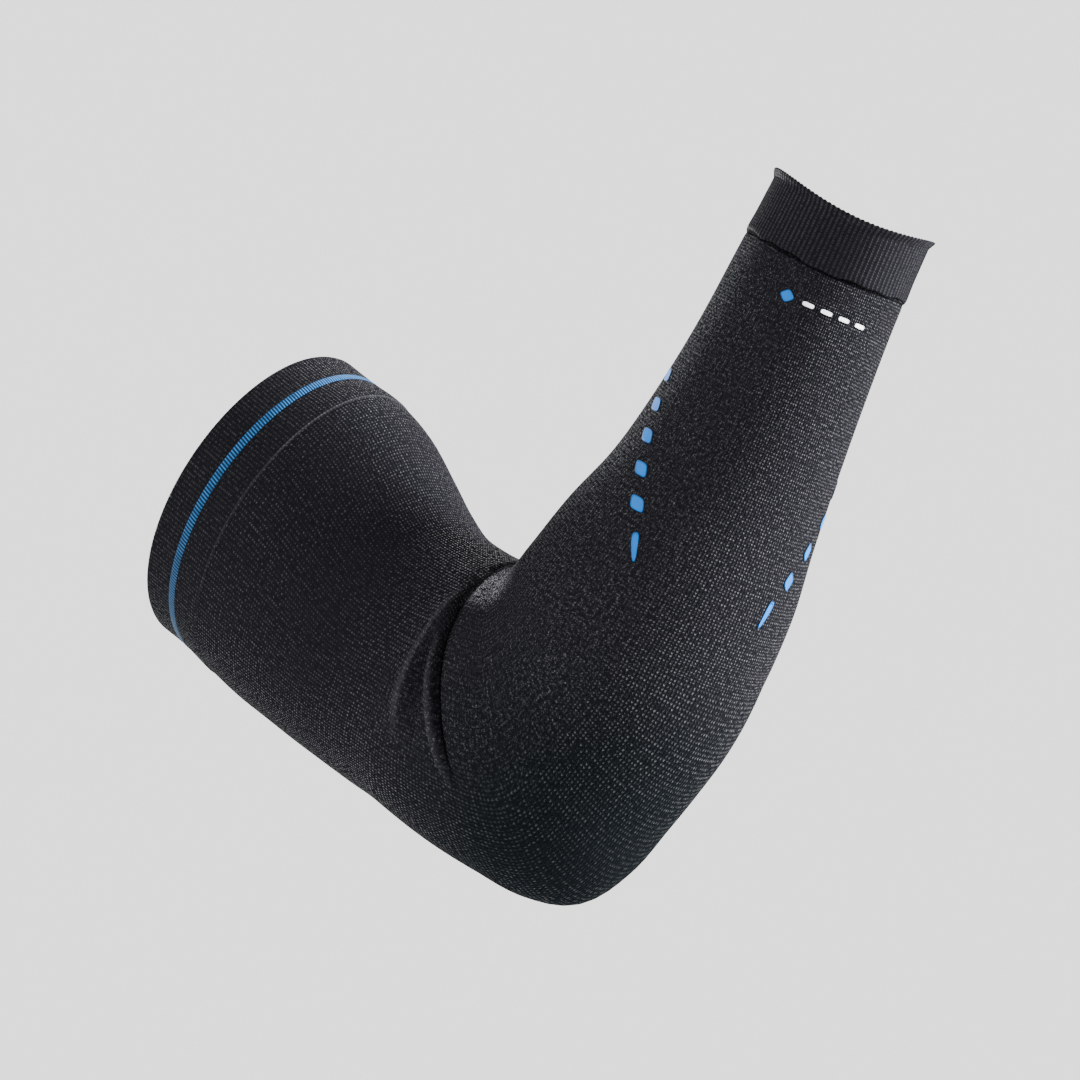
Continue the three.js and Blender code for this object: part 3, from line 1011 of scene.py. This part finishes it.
@dataclass(frozen=True)
class PrintFinish:
    """Soft raised print: an even colour with the knit just felt through it, and a darker rolled edge."""

    name: str
    colour: Colour
    shade: Colour
    edge: Colour
    patch_noise: Noise = (160.0, 2.0, 0.5)
    patch_ends: Pair = (0.35, 0.65)
    edge_heights: Pair = (0.93, 0.998)
    rough_span: Span = (0.3, 0.7, 0.5, 0.6)
    grain_noise: Noise = (900.0, 2.0, 0.5)
    grain_strength: float = 0.3
    grain: float = 0.0001

    def build(self) -> bpy.types.Material:
        """Build the material.

        Returns:
            The print's material.
        """
        sketch = Sketch(bpy.data.materials.new(self.name))
        height, _ = sketch.knit_places()
        places = sketch.object_places()
        patches = sketch.noise(places, *self.patch_noise)
        face = sketch.blend(sketch.span(patches, *self.patch_ends), self.colour, self.shade)
        sketch.set("Base Color", sketch.blend(sketch.span(height, *self.edge_heights), self.edge, face))
        sketch.set("Roughness", sketch.span(patches, *self.rough_span))
        sketch.set("Specular IOR Level", 0.06)
        grain = sketch.noise(places, *self.grain_noise)
        sketch.set("Normal", sketch.bump(grain, self.grain_strength, self.grain))
        return sketch.material


class Slot(Enum):
    """The record's material slots."""

    BODY = "body_knit"
    RIB = "rib_knit"
    BAND = "band_knit"
    STRIPE = "stripe_yarn"
    BLUE = "blue_print"
    WHITE = "white_print"


def finish_piece(piece: bpy.types.Object, material: bpy.types.Material, slot: Slot, *nodes: str) -> None:
    """Dress a piece, let it ride on the root body and say which nodes it stands for.

    Args:
        piece: the finished piece.
        material: its material.
        slot: the record's slot for the piece; not used.
        nodes: the CAD nodes that it replaces.
    """
    piece.data.materials.clear()
    piece.data.materials.append(material)
    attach(piece, "root")
    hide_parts(*nodes)
    LOG.info("%s: %d faces for %s", piece.name, len(piece.data.polygons), ", ".join(nodes))


def show_smooth(name: str, mesh: bpy.types.Mesh) -> bpy.types.Object:
    """Smooth a finished mesh and link it into the scene.

    Args:
        name: the object's name.
        mesh: its mesh.

    Returns:
        The new object.
    """
    mesh.polygons.foreach_set("use_smooth", np.ones(len(mesh.polygons), dtype=bool))
    mesh.update()
    piece = bpy.data.objects.new(name, mesh)
    bpy.context.collection.objects.link(piece)
    return piece


def plain_relief(along: Places, turn: Places, lift: Places) -> tuple[Places, Places]:
    """Leave a ring as its profile gives it."""
    return along, lift


@dataclass
class KnittedRing:
    """A closed ring of knit round the arm, from a profile along its outer face and back inside."""

    surface: SleeveSurface
    name: str
    around: int

    def build(self, profile: Profile, relief: Relief = plain_relief) -> bpy.types.Object:
        """Make the ring's mesh with its knit map.

        Args:
            profile: places along and lifts, in millimetres.
            relief: change of place and lift for each point.

        Returns:
            The new object.
        """
        steps = len(profile)
        turns = np.arange(self.around) / self.around
        along, lift = (np.repeat(np.array(values), self.around) for values in zip(*profile))
        turn = np.tile(turns, steps)
        moved, raised = relief(along, turn, lift)
        points = self.surface.point(moved, turn, raised) * MM
        ring = np.arange(self.around)
        after = (ring + 1) % self.around
        faces = []
        for step in range(steps):
            here, there = step * self.around, ((step + 1) % steps) * self.around
            faces.append(np.stack([here + ring, there + ring, there + after, here + after], axis=1))
        quads = np.concatenate(faces)
        mesh = bpy.data.meshes.new(self.name)
        mesh.from_pydata(points.tolist(), [], quads.tolist())
        self.map_knit(mesh, np.array([place for place, _ in profile]))
        return show_smooth(self.name, mesh)

    def map_knit(self, mesh: bpy.types.Mesh, places: Places) -> None:
        """Write the turn and the place along, in decimetres, into the piece's UV map.

        Args:
            mesh: the ring's mesh.
            places: the profile's places along, in millimetres.
        """
        steps = len(places)
        ring = np.arange(self.around)
        low, high = ring / self.around, (ring + 1) / self.around
        corners = []
        for step in range(steps):
            here = np.full(self.around, places[step] / DECIMETRE)
            there = np.full(self.around, places[(step + 1) % steps] / DECIMETRE)
            corners.append(np.stack([low, here, low, there, high, there, high, here], axis=1))
        layer = mesh.uv_layers.new(name=UV_NAME)
        layer.data.foreach_set("uv", np.concatenate(corners).ravel())


@dataclass
class SleeveBody:
    """The thin knit tube from under the cuff, round the elbow, to the band."""

    surface: SleeveSurface
    around: int = 280
    forearm_steps: int = 40
    elbow_steps: int = 30
    crease_steps: int = 70
    upper_arm_steps: int = 26
    edge_roll: float = 0.5
    tuck: float = 1.1
    tuck_end: float = 1.9
    band_roll: float = 0.15
    under_cuff: float = 0.9
    crease_from: float = 0.62
    flat_width: float = 0.27
    flat_length: float = 0.34

    def stations(self) -> Places:
        """List the places along, closest together at the crease.

        Returns:
            The places, in millimetres.
        """
        surface, sizes = self.surface, self.surface.sizes
        start = sizes.cuff_length - self.under_cuff
        end = surface.length - sizes.band_length
        crease = surface.forearm_straight + surface.elbow_length * self.crease_from
        return np.concatenate(
            [
                np.linspace(start, surface.forearm_straight, self.forearm_steps, endpoint=False),
                np.linspace(surface.forearm_straight, crease, self.elbow_steps, endpoint=False),
                np.linspace(crease, surface.elbow_end, self.crease_steps, endpoint=False),
                np.linspace(surface.elbow_end, end, self.upper_arm_steps),
            ]
        )

    def build(self) -> bpy.types.Object:
        """Make the tube with both its faces and rolled ends.

        Returns:
            The body.
        """
        wall = self.surface.sizes.body_wall
        places = self.stations()
        start, end, roll = places[0], places[-1], self.edge_roll
        tucked = [(start, -roll), (start + self.tuck, -roll), (start + self.tuck_end, -roll / 5)]
        outside = [(place, 0.0) for place in places[1:-1]]
        at_band = [(end - self.band_roll, -self.band_roll / 3), (end, -self.band_roll)]
        inside = [(place, -wall) for place in places[::-1]]
        profile = tucked + outside + at_band + inside
        body = KnittedRing(self.surface, "Sleeve_body", self.around).build(profile)
        return body


@dataclass
class WristCuff:
    """The ribbed welt at the wrist, with a curled rim."""

    surface: SleeveSurface
    ribs: int = 104
    points_in_rib: int = 6
    rib_height: float = 0.13
    rim_scallop: float = 0.16
    seam_wave: float = 0.35
    seam_waves: tuple[tuple[float, float, float], ...] = ((7, 0.1, 1.0), (17, 0.4, 0.7))
    seam_from: float = 0.75
    ribs_end: float = 0.93
    inner_ribs: float = 0.35
    inner_below: float = -1.2
    rim_reach: float = 2.5
    steps: int = 30
    proud: float = 0.2
    flare: float = 1.15
    flare_end: float = 0.12
    seam_rise: float = 0.2
    seam_ends: Pair = (0.6, 0.95)
    curl: tuple[Pair, ...] = ((0.5, -1.3), (0.0, -0.85), (-0.45, -0.35), (-0.5, -0.05), (-0.2, 0.1))
    edge_roll: float = 0.7
    seam_corner: Pair = (0.35, 0.3)
    inner_lift: float = 0.35
    flat_width: float = 0.16
    flat_length: float = 0.024

    def outer_lift(self, share: Places) -> Places:
        """Give the outer face's lift for each share of the cuff's length.

        Args:
            share: shares of the length, from the rim.

        Returns:
            One lift for each share, in millimetres.
        """
        flare = self.flare * (1 - smooth_share(share, 0.0, self.flare_end))
        seam = self.seam_rise * smooth_share(share, *self.seam_ends)
        return self.proud + flare + seam

    def build(self) -> bpy.types.Object:
        """Make the cuff with its ribs, curled rim and rolled seam edge.

        Returns:
            The cuff.
        """
        sizes = self.surface.sizes
        length, wall, roll = sizes.cuff_length, sizes.cuff_wall, self.edge_roll
        shares = np.linspace(0.0, 1.0, self.steps)[1:-1]
        outer = [(share * length, float(self.outer_lift(np.array(share)))) for share in shares]
        top = float(self.outer_lift(np.array(0.0)))
        end = float(self.outer_lift(np.array(1.0)))
        rim = [(place, top + lift) for place, lift in self.curl]
        back, down = self.seam_corner
        seam = [(length - back * roll, end - down * roll), (length, end - roll), (length, end - wall)]
        inner = [(share * length, self.inner_lift - wall) for share in shares[::-2]]
        profile = rim + outer + seam + inner
        around = self.ribs * self.points_in_rib
        cuff = KnittedRing(self.surface, "Wrist_cuff", around).build(profile, self.rib_relief)
        return cuff

    def rib_relief(self, along: Places, turn: Places, lift: Places) -> tuple[Places, Places]:
        """Raise the ribs and scallop the rim.

        Args:
            along: places along.
            turn: turns round.
            lift: lifts of the plain profile.

        Returns:
            The moved places and the raised lifts.
        """
        sizes = self.surface.sizes
        share = along / sizes.cuff_length
        rib = np.cos(2 * math.pi * self.ribs * turn)
        weight = np.where(lift > self.inner_below, 1.0, self.inner_ribs)
        weight = weight * (1 - smooth_share(share, self.ribs_end, 1.0))
        near_rim = 1 - smooth_share(along, 0.0, self.rim_reach)
        wave = sum(
            most * np.sin(2 * math.pi * (count * turn + start)) for count, start, most in self.seam_waves
        )
        seam = self.seam_wave * wave * smooth_share(share, self.seam_from, 1.0)
        moved = along - self.rim_scallop * rib * near_rim + seam
        return moved, lift + self.rib_height * rib * weight


@dataclass
class UpperBand:
    """The doubled band round the upper arm, with the groove that the stripe fills."""

    surface: SleeveSurface
    around: int = 240
    steps: int = 12
    edge_roll: float = 0.8
    seam_roll: float = 0.3
    groove: float = 0.25
    groove_edge: float = 0.1
    corner: float = 0.3
    flat_width: float = 0.29
    flat_length: float = 0.03

    def build(self) -> bpy.types.Object:
        """Make the band with rolled edges and the stripe's groove.

        Returns:
            The band.
        """
        sizes = self.surface.sizes
        length = self.surface.length
        start, proud, roll = length - sizes.band_length, sizes.band_proud, self.edge_roll
        middle = length - sizes.stripe_from_rim
        low, high = middle - sizes.stripe_width / 2, middle + sizes.stripe_width / 2
        inside = proud - sizes.band_wall
        edge = self.groove_edge
        below = [(place, proud) for place in np.linspace(start + roll, low - edge, self.steps)]
        above = [(place, proud) for place in np.linspace(high + edge, length - roll, self.steps)]
        floor = [(place, proud - self.groove) for place in (low, middle, high)]
        near = roll * self.corner
        first = [(start, proud - self.seam_roll), (start + near, proud - self.seam_roll / 3)]
        last = [(length - near, proud - near), (length, proud - roll)]
        foot = [(length, inside + roll), (length - roll / 2, inside)]
        inner = [(place, inside) for place in np.linspace(length - roll, start, self.steps)]
        profile = first + below + floor + above + last + foot + inner
        band = KnittedRing(self.surface, "Upper_band", self.around).build(profile)
        return band


@dataclass
class BandStripe:
    """The light blue stripe knitted into the band."""

    surface: SleeveSurface
    around: int = 240
    outer_points: int = 9
    crown: float = 0.12
    sunk: float = 0.02
    depth: float = 0.6

    def build(self) -> bpy.types.Object:
        """Make the stripe as a slightly crowned strip in the band's groove.

        Returns:
            The stripe.
        """
        sizes = self.surface.sizes
        middle = self.surface.length - sizes.stripe_from_rim
        half, proud = sizes.stripe_width / 2, sizes.band_proud
        shares = np.linspace(-1.0, 1.0, self.outer_points)
        outer = [(middle + half * s, proud + self.crown * (1 - s * s) - self.sunk) for s in shares]
        inner = [(middle + half * s, proud - self.depth) for s in (1.0, -1.0)]
        return KnittedRing(self.surface, "Band_stripe", self.around).build(outer + inner)


class PadForm(Enum):
    """The outlines that the print uses."""

    LOZENGE = "lozenge"
    DROP = "drop"
    DASH = "dash"


@dataclass(frozen=True)
class PrintPlace:
    """Where one print lies: its node, form and place, its axes' directions and its half sizes."""

    node: str
    form: PadForm
    along: float
    turn: float
    first_angle: float
    second_angle: float
    half_first: float
    half_second: float
    tip: float = 1.0


@dataclass(frozen=True)
class PrintRow:
    """One row of lozenges along the forearm, with the drop that it ends in.

    Starts are shares of the forearm's straight part. Turns are turns round the sleeve and angles are
    degrees. The pitch, length and width are shares of the print's own.
    """

    side: str
    start: float
    turn: float
    turn_step: float
    pitch: float
    first_angle: float
    second_angle: float
    length: float
    width: float
    drop_start: float
    drop_turn: float
    drop_angle: float


INNER_ROW = PrintRow(
    side="inner",
    start=0.73,
    turn=0.2297,
    turn_step=-0.031,
    pitch=1.0,
    first_angle=65,
    second_angle=149,
    length=1.0,
    width=1.0,
    drop_start=0.805,
    drop_turn=0.263,
    drop_angle=31,
)
OUTER_ROW = PrintRow(
    side="outer",
    start=0.7417,
    turn=0.4873,
    turn_step=0.029,
    pitch=1.05,
    first_angle=3,
    second_angle=-74,
    length=0.8,
    width=1.04,
    drop_start=0.8165,
    drop_turn=0.463,
    drop_angle=-13,
)
PAD_POWERS = {PadForm.LOZENGE: 3.4, PadForm.DROP: 3.0, PadForm.DASH: 4.0}


@dataclass
class RaisedPrint:
    """The print on the knit: soft pads, each made from one shaped base and laid on the sleeve."""

    surface: SleeveSurface
    thickness: float = 0.3
    sunk: float = 0.25
    pad_steps: int = 14
    pad_bevel: float = 0.2
    rows: tuple[PrintRow, ...] = (INNER_ROW, OUTER_ROW)
    lozenge_length: float = 9.4
    lozenge_width: float = 5.6
    lozenge_pitch: float = 9.6
    lozenges: int = 5
    drop_length: float = 10.0
    drop_width: float = 3.1
    drop_tip: float = 0.42
    mark_from_cuff: float = 13.4
    mark_turn: float = 0.278
    mark_size: float = 5.6
    dash_turn: float = 0.319
    dash_length: float = 3.8
    dash_width: float = 1.6
    dash_pitch: float = 5.9
    dashes: int = 4
    bases: dict[PadForm, bpy.types.Mesh] = field(default_factory=dict)

    def base(self, form: PadForm) -> bpy.types.Mesh:
        """Shape the flat pad that every copy of a form starts from, two units square and one thick.

        Args:
            form: the outline.

        Returns:
            The base mesh.
        """
        if form in self.bases:
            return self.bases[form]
        power, steps = PAD_POWERS[form], self.pad_steps
        bpy.ops.object.select_all(action="DESELECT")
        bpy.ops.mesh.primitive_grid_add(x_subdivisions=steps, y_subdivisions=steps, size=2.0)
        pad = bpy.context.object
        for vertex in pad.data.vertices:
            wide, deep = abs(vertex.co.x), abs(vertex.co.y)
            total = (wide**power + deep**power) ** (1 / power)
            vertex.co *= max(wide, deep) / total if total else 1.0
        bpy.ops.object.mode_set(mode="EDIT")
        bpy.ops.mesh.select_all(action="SELECT")
        bpy.ops.mesh.extrude_region_move(TRANSFORM_OT_translate={"value": (0.0, 0.0, 1.0)})
        bpy.ops.mesh.region_to_loop()
        bpy.ops.mesh.bevel(offset=self.pad_bevel, segments=3, affect="EDGES")
        bpy.ops.mesh.select_all(action="SELECT")
        bpy.ops.mesh.normals_make_consistent(inside=False)
        bpy.ops.object.mode_set(mode="OBJECT")
        mesh = pad.data
        bpy.data.objects.remove(pad)
        self.bases[form] = mesh
        return mesh

    def lozenge_places(self, row: PrintRow) -> list[PrintPlace]:
        """List one row's lozenges, the one beside the drop first.

        Args:
            row: the row.

        Returns:
            One place for each lozenge.
        """
        start = self.surface.forearm_straight * row.start
        return [
            PrintPlace(
                f"{row.side}_lozenge_{index + 1}",
                PadForm.LOZENGE,
                start - index * row.pitch * self.lozenge_pitch,
                row.turn + index * row.turn_step,
                row.first_angle,
                row.second_angle,
                self.lozenge_length / 2 * row.length,
                self.lozenge_width / 2 * row.width,
            )
            for index in range(self.lozenges)
        ]

    def drop_place(self, row: PrintRow) -> PrintPlace:
        """Place the drop that a row ends in.

        Args:
            row: the row.

        Returns:
            The drop's place.
        """
        return PrintPlace(
            f"{row.side}_drop",
            PadForm.DROP,
            self.surface.forearm_straight * row.drop_start,
            row.drop_turn,
            row.drop_angle,
            row.drop_angle + 90,
            self.drop_length / 2,
            self.drop_width / 2,
            self.drop_tip,
        )

    def mark_places(self) -> list[PrintPlace]:
        """List the plain mark under the cuff: a lozenge and a line of dashes.

        Returns:
            One place for each of its parts.
        """
        along = self.surface.sizes.cuff_length + self.mark_from_cuff
        half = self.mark_size / 2
        marks = [PrintPlace("mark_lozenge", PadForm.LOZENGE, along, self.mark_turn, 0, 90, half, half)]
        half_length, half_width = self.dash_length / 2, self.dash_width / 2
        for index in range(self.dashes):
            node = f"mark_dash_{index + 1}"
            turn = self.dash_turn + index * self.dash_pitch / self.surface.girth(along)
            marks.append(PrintPlace(node, PadForm.DASH, along, turn, 0, 90, half_width, half_length))
        return marks

    def places(self) -> list[PrintPlace]:
        """List every print: both rows, their drops, and the plain mark under the cuff."""
        lozenges = [place for row in self.rows for place in self.lozenge_places(row)]
        return lozenges + [self.drop_place(row) for row in self.rows] + self.mark_places()

    def flat_places(self, flat: Places, place: PrintPlace) -> tuple[Places, Places]:
        """Turn the base's square into the print's own outline, in millimetres along and round.

        Args:
            flat: the base's points, from -1 to 1 both ways.
            place: the print.

        Returns:
            Distances along and round from the print's middle.
        """
        x, y = flat[:, 0], flat[:, 1]
        if place.form is PadForm.LOZENGE:
            x, y = (x + y) / 2, (y - x) / 2
        if place.form is PadForm.DROP:
            y = y * (1 + (place.tip - 1) * (x + 1) / 2)
        first, second = math.radians(place.first_angle), math.radians(place.second_angle)
        along = x * place.half_first * math.cos(first) + y * place.half_second * math.cos(second)
        round_ = x * place.half_first * math.sin(first) + y * place.half_second * math.sin(second)
        return along, round_

    def lay(self, place: PrintPlace) -> bpy.types.Object:
        """Copy the base and lay it on the knit.

        Args:
            place: the print.

        Returns:
            The print's own piece.
        """
        mesh = self.base(place.form).copy()
        name = mesh.name = place.node.capitalize()
        flat = np.empty(len(mesh.vertices) * 3)
        mesh.vertices.foreach_get("co", flat)
        flat = flat.reshape(-1, 3)
        along, round_ = self.flat_places(flat, place)
        girth = self.surface.girth(place.along)
        lift = -self.sunk + flat[:, 2] * (self.thickness + self.sunk)
        points = self.surface.point(place.along + along, place.turn + round_ / girth, lift) * MM
        mesh.vertices.foreach_set("co", points.ravel())
        self.map_height(mesh, flat[:, 2])
        piece = show_smooth(name, mesh)
        self.face_outwards(piece)
        return piece

    def map_height(self, mesh: bpy.types.Mesh, height: Places) -> None:
        """Write each point's height in the pad into its UV map.

        Args:
            mesh: the print's mesh.
            height: one height for each vertex.
        """
        for layer in list(mesh.uv_layers):
            mesh.uv_layers.remove(layer)
        layer = mesh.uv_layers.new(name=UV_NAME)
        corners = np.empty(len(mesh.loops), dtype=int)
        mesh.loops.foreach_get("vertex_index", corners)
        values = np.zeros((len(corners), 2))
        values[:, 0] = height[corners]
        layer.data.foreach_set("uv", values.ravel())

    def face_outwards(self, piece: bpy.types.Object) -> None:
        """Point the print's faces outwards after the wrap.

        Args:
            piece: the print.
        """
        bpy.ops.object.select_all(action="DESELECT")
        bpy.context.view_layer.objects.active = piece
        piece.select_set(True)
        bpy.ops.object.mode_set(mode="EDIT")
        bpy.ops.mesh.select_all(action="SELECT")
        bpy.ops.mesh.normals_make_consistent(inside=False)
        bpy.ops.object.mode_set(mode="OBJECT")
        piece.select_set(False)

    def build(self, blue: bpy.types.Material, white: bpy.types.Material) -> None:
        """Make and dress every print.

        Args:
            blue: finish of the lozenges and drops.
            white: finish of the dashes.
        """
        for place in self.places():
            piece = self.lay(place)
            if place.form is PadForm.DASH:
                finish_piece(piece, white, Slot.WHITE, place.node)
            else:
                finish_piece(piece, blue, Slot.BLUE, place.node)
        for mesh in self.bases.values():
            bpy.data.meshes.remove(mesh)


@dataclass
class Lamp:
    """One soft area light that looks at the sleeve's middle."""

    name: str
    place: Place
    size: float
    watts: float
    spread: float = 75.0
    target: Place = (0.0, 0.0, 0.05)

    def build(self) -> None:
        """Add the lamp and turn it to its target."""
        data = bpy.data.lights.new(self.name, "AREA")
        data.shape = "DISK"
        data.size = self.size
        data.energy = self.watts
        data.spread = math.radians(self.spread)
        lamp = bpy.data.objects.new(self.name, data)
        lamp.location = self.place
        lamp.rotation_euler = (Vector(self.target) - Vector(self.place)).to_track_quat("-Z", "Y").to_euler()
        bpy.context.collection.objects.link(lamp)


@dataclass
class Studio:
    """A pale floor that curves up behind, soft lights and the camera."""

    floor_height: float = -0.32
    floor_radius: float = 3.2
    floor_rings: int = 24
    sweep_height: float = 2.6
    sweep_rings: int = 16
    around: int = 96
    paper: Colour = (0.93, 0.93, 0.93)
    surround: float = 2.2
    azimuth: float = 29.5
    elevation: float = -5.5
    distance: float = 1.25
    aim_right: float = -18.43
    aim_up: float = 56.28
    focal_pixels: float = 3731.34
    picture: float = 1080.0
    sensor: float = 36.0
    far_clip: float = 30.0

    def axes(self) -> tuple[Vector, Vector, Vector]:
        """Give the camera's right, up and backward directions.

        Returns:
            The three directions.
        """
        a, e = math.radians(self.azimuth), math.radians(self.elevation)
        back = Vector((math.sin(a) * math.cos(e), -math.cos(a) * math.cos(e), math.sin(e)))
        right = Vector((math.cos(a), math.sin(a), 0.0))
        up = Vector((-math.sin(e) * math.sin(a), math.sin(e) * math.cos(a), math.cos(e)))
        return right, up, back

    def camera(self) -> None:
        """Add the camera at the photograph's angle and distance."""
        right, up, back = self.axes()
        data = bpy.data.cameras.new("Camera")
        data.sensor_width = self.sensor
        data.lens = self.focal_pixels / self.picture * self.sensor
        data.clip_end = self.far_clip
        camera = bpy.data.objects.new("Camera", data)
        place = right * self.aim_right * MM + up * self.aim_up * MM + back * self.distance
        turned = Matrix((right, up, back)).transposed().to_4x4()
        camera.matrix_world = Matrix.Translation(place) @ turned
        bpy.context.collection.objects.link(camera)
        bpy.context.scene.camera = camera

    def floor_rows(self) -> Profile:
        """List the radius and height of each ring of the floor, the middle first.

        Returns:
            One pair for each ring, in metres.
        """
        rows = [(self.floor_radius * share, 0.0) for share in np.linspace(0.0, 1.0, self.floor_rings)]
        for angle in np.linspace(0.0, math.pi / 2, self.sweep_rings)[1:]:
            radius = self.floor_radius + self.sweep_height * math.sin(angle)
            rows.append((radius, self.sweep_height * (1 - math.cos(angle))))
        return rows

    def backdrop(self) -> None:
        """Add the floor, a wide dish with a raised rim, so no horizon shows."""
        rows = self.floor_rows()
        around = self.around
        turns = np.arange(around) / around * 2 * math.pi
        points = [
            (radius * math.cos(turn), radius * math.sin(turn), self.floor_height + height)
            for radius, height in rows[1:]
            for turn in turns
        ]
        points.append((0.0, 0.0, self.floor_height))
        faces = [(len(points) - 1, i, (i + 1) % around) for i in range(around)]
        for here in range(0, (len(rows) - 2) * around, around):
            there = here + around
            for i in range(around):
                after = (i + 1) % around
                faces.append((here + i, there + i, there + after, here + after))
        mesh = bpy.data.meshes.new("Backdrop")
        mesh.from_pydata(points, [], faces)
        floor = show_smooth("Backdrop", mesh)
        sketch = Sketch(bpy.data.materials.new("Backdrop_paper"))
        sketch.set("Base Color", (*self.paper, 1.0))
        sketch.set("Roughness", 0.95)
        sketch.set("Specular IOR Level", 0.1)
        mesh.materials.append(sketch.material)

    def light(self) -> None:
        """Add an even white surround and soft lamps."""
        world = bpy.data.worlds.new("Surround")
        bpy.context.scene.world = world
        world.use_nodes = True
        ground = world.node_tree.nodes["Background"]
        ground.inputs["Color"].default_value = (1.0, 1.0, 1.0, 1.0)
        ground.inputs["Strength"].default_value = self.surround
        Lamp("Right_strip", (1.35, 0.55, 0.45), size=0.5, watts=36.0).build()
        Lamp("Left_strip", (-1.47, 0.69, 0.52), size=0.5, watts=8.0).build()
        Lamp("Left_top", (-1.1, -0.9, 1.3), size=0.5, watts=5.0).build()
        Lamp("Back_top", (-0.3, 1.3, 1.5), size=0.8, watts=14.0, spread=120.0).build()

    def build(self) -> None:
        """Set up the whole stage."""
        self.camera()
        self.backdrop()
        self.light()


@dataclass(frozen=True)
class Wardrobe:
    """The finishes of the sleeve, with the places on it that they need."""

    surface: SleeveSurface
    seam_gap: float = 0.004
    # Place of the painted shade beside the crease.
    shaded_beyond_elbow: float = 12.0
    shaded_turn: float = 0.2
    # Places of the painted highlights beside the crease.
    highlight_shares: tuple[Pair, ...] = ((0.8, 0.06), (0.73, 0.098))
    crest_reach: float = 0.02
    crest_start: float = 0.05
    groove_reach: float = 0.009
    groove_rise: float = -0.5

    def body(self) -> KnitFinish:
        """Give the body's knit, with painted shadow at the seam under the cuff and in the folds' grooves.

        Returns:
            The body's finish.
        """
        surface = self.surface
        elbow, length = surface.forearm_straight, surface.elbow_length
        crests = [fold for fold in surface.folds if fold.rise > 0 and fold.start > self.crest_start]
        grooves = [fold for fold in surface.folds if fold.rise < self.groove_rise]
        return KnitFinish(
            "body_knit",
            columns=220.0,
            courses=95.0,
            grain=0.8,
            # Painted highlight at the seam with the band.
            seam_highlight=self.band_seam(),
            # Painted shadow at the seam under the cuff.
            seam_shadow=surface.sizes.cuff_length / DECIMETRE + self.seam_gap,
            elbow_end=surface.elbow_end / DECIMETRE,
            shaded_place=surface.metres(surface.elbow_end + self.shaded_beyond_elbow, self.shaded_turn),
            highlight_places=tuple(
                surface.metres(elbow + share * length, turn) for share, turn in self.highlight_shares
            ),
            # The raised folds' crests get a painted highlight.
            crests=tuple(surface.fold_line(fold, self.crest_reach) for fold in crests),
            grooves=tuple(surface.fold_line(fold, self.groove_reach) for fold in grooves),
        )

    def rib(self) -> KnitFinish:
        """Give the cuff's rib, duller and with fewer flecks.

        Returns:
            The cuff's finish.
        """
        return KnitFinish(
            "rib_knit",
            columns=104.0,
            courses=105.0,
            fleck_share=0.07,
            fleck_rarity=(0.25, 0.6),
            line_share=0.75,
            relief=0.00018,
            gloss=0.07,
            sheen=0.035,
        )

    def band(self) -> KnitFinish:
        """Give the band's doubled knit.

        Returns:
            The band's finish.
        """
        return KnitFinish(
            "band_knit",
            columns=230.0,
            courses=110.0,
            fleck_share=0.04,
            line_share=0.4,
            gloss=0.25,
            sheen=0.03,
            # Painted highlight at the seam with the body.
            seam_highlight=self.band_seam(),
        )

    def band_seam(self) -> float:
        """Give the place along of the seam between the body and the band, in decimetres."""
        return (self.surface.length - self.surface.sizes.band_length) / DECIMETRE


def main() -> None:
    """Build the stage, then the sleeve piece by piece."""
    logging.basicConfig(level=logging.INFO, format="%(name)s: %(message)s")
    surface = SleeveSurface(SleeveSizes())
    finishes = Wardrobe(surface)
    Studio().build()
    finish_piece(SleeveBody(surface).build(), finishes.body().build(), Slot.BODY, "sleeve_body")
    finish_piece(WristCuff(surface).build(), finishes.rib().build(), Slot.RIB, "wrist_cuff")
    finish_piece(UpperBand(surface).build(), finishes.band().build(), Slot.BAND, "upper_band")
    finish_piece(BandStripe(surface).build(), StripeFinish().build(), Slot.STRIPE, "band_stripe")
    blue = PrintFinish("blue_print", (0.002, 0.082, 0.29), (0.003, 0.09, 0.31), (0.0006, 0.004, 0.012))
    white = PrintFinish("white_print", (0.76, 0.78, 0.8), (0.84, 0.86, 0.88), (0.1, 0.1, 0.11))
    RaisedPrint(surface).build(blue.build(), white.build())


if __name__ == "__main__":
    main()
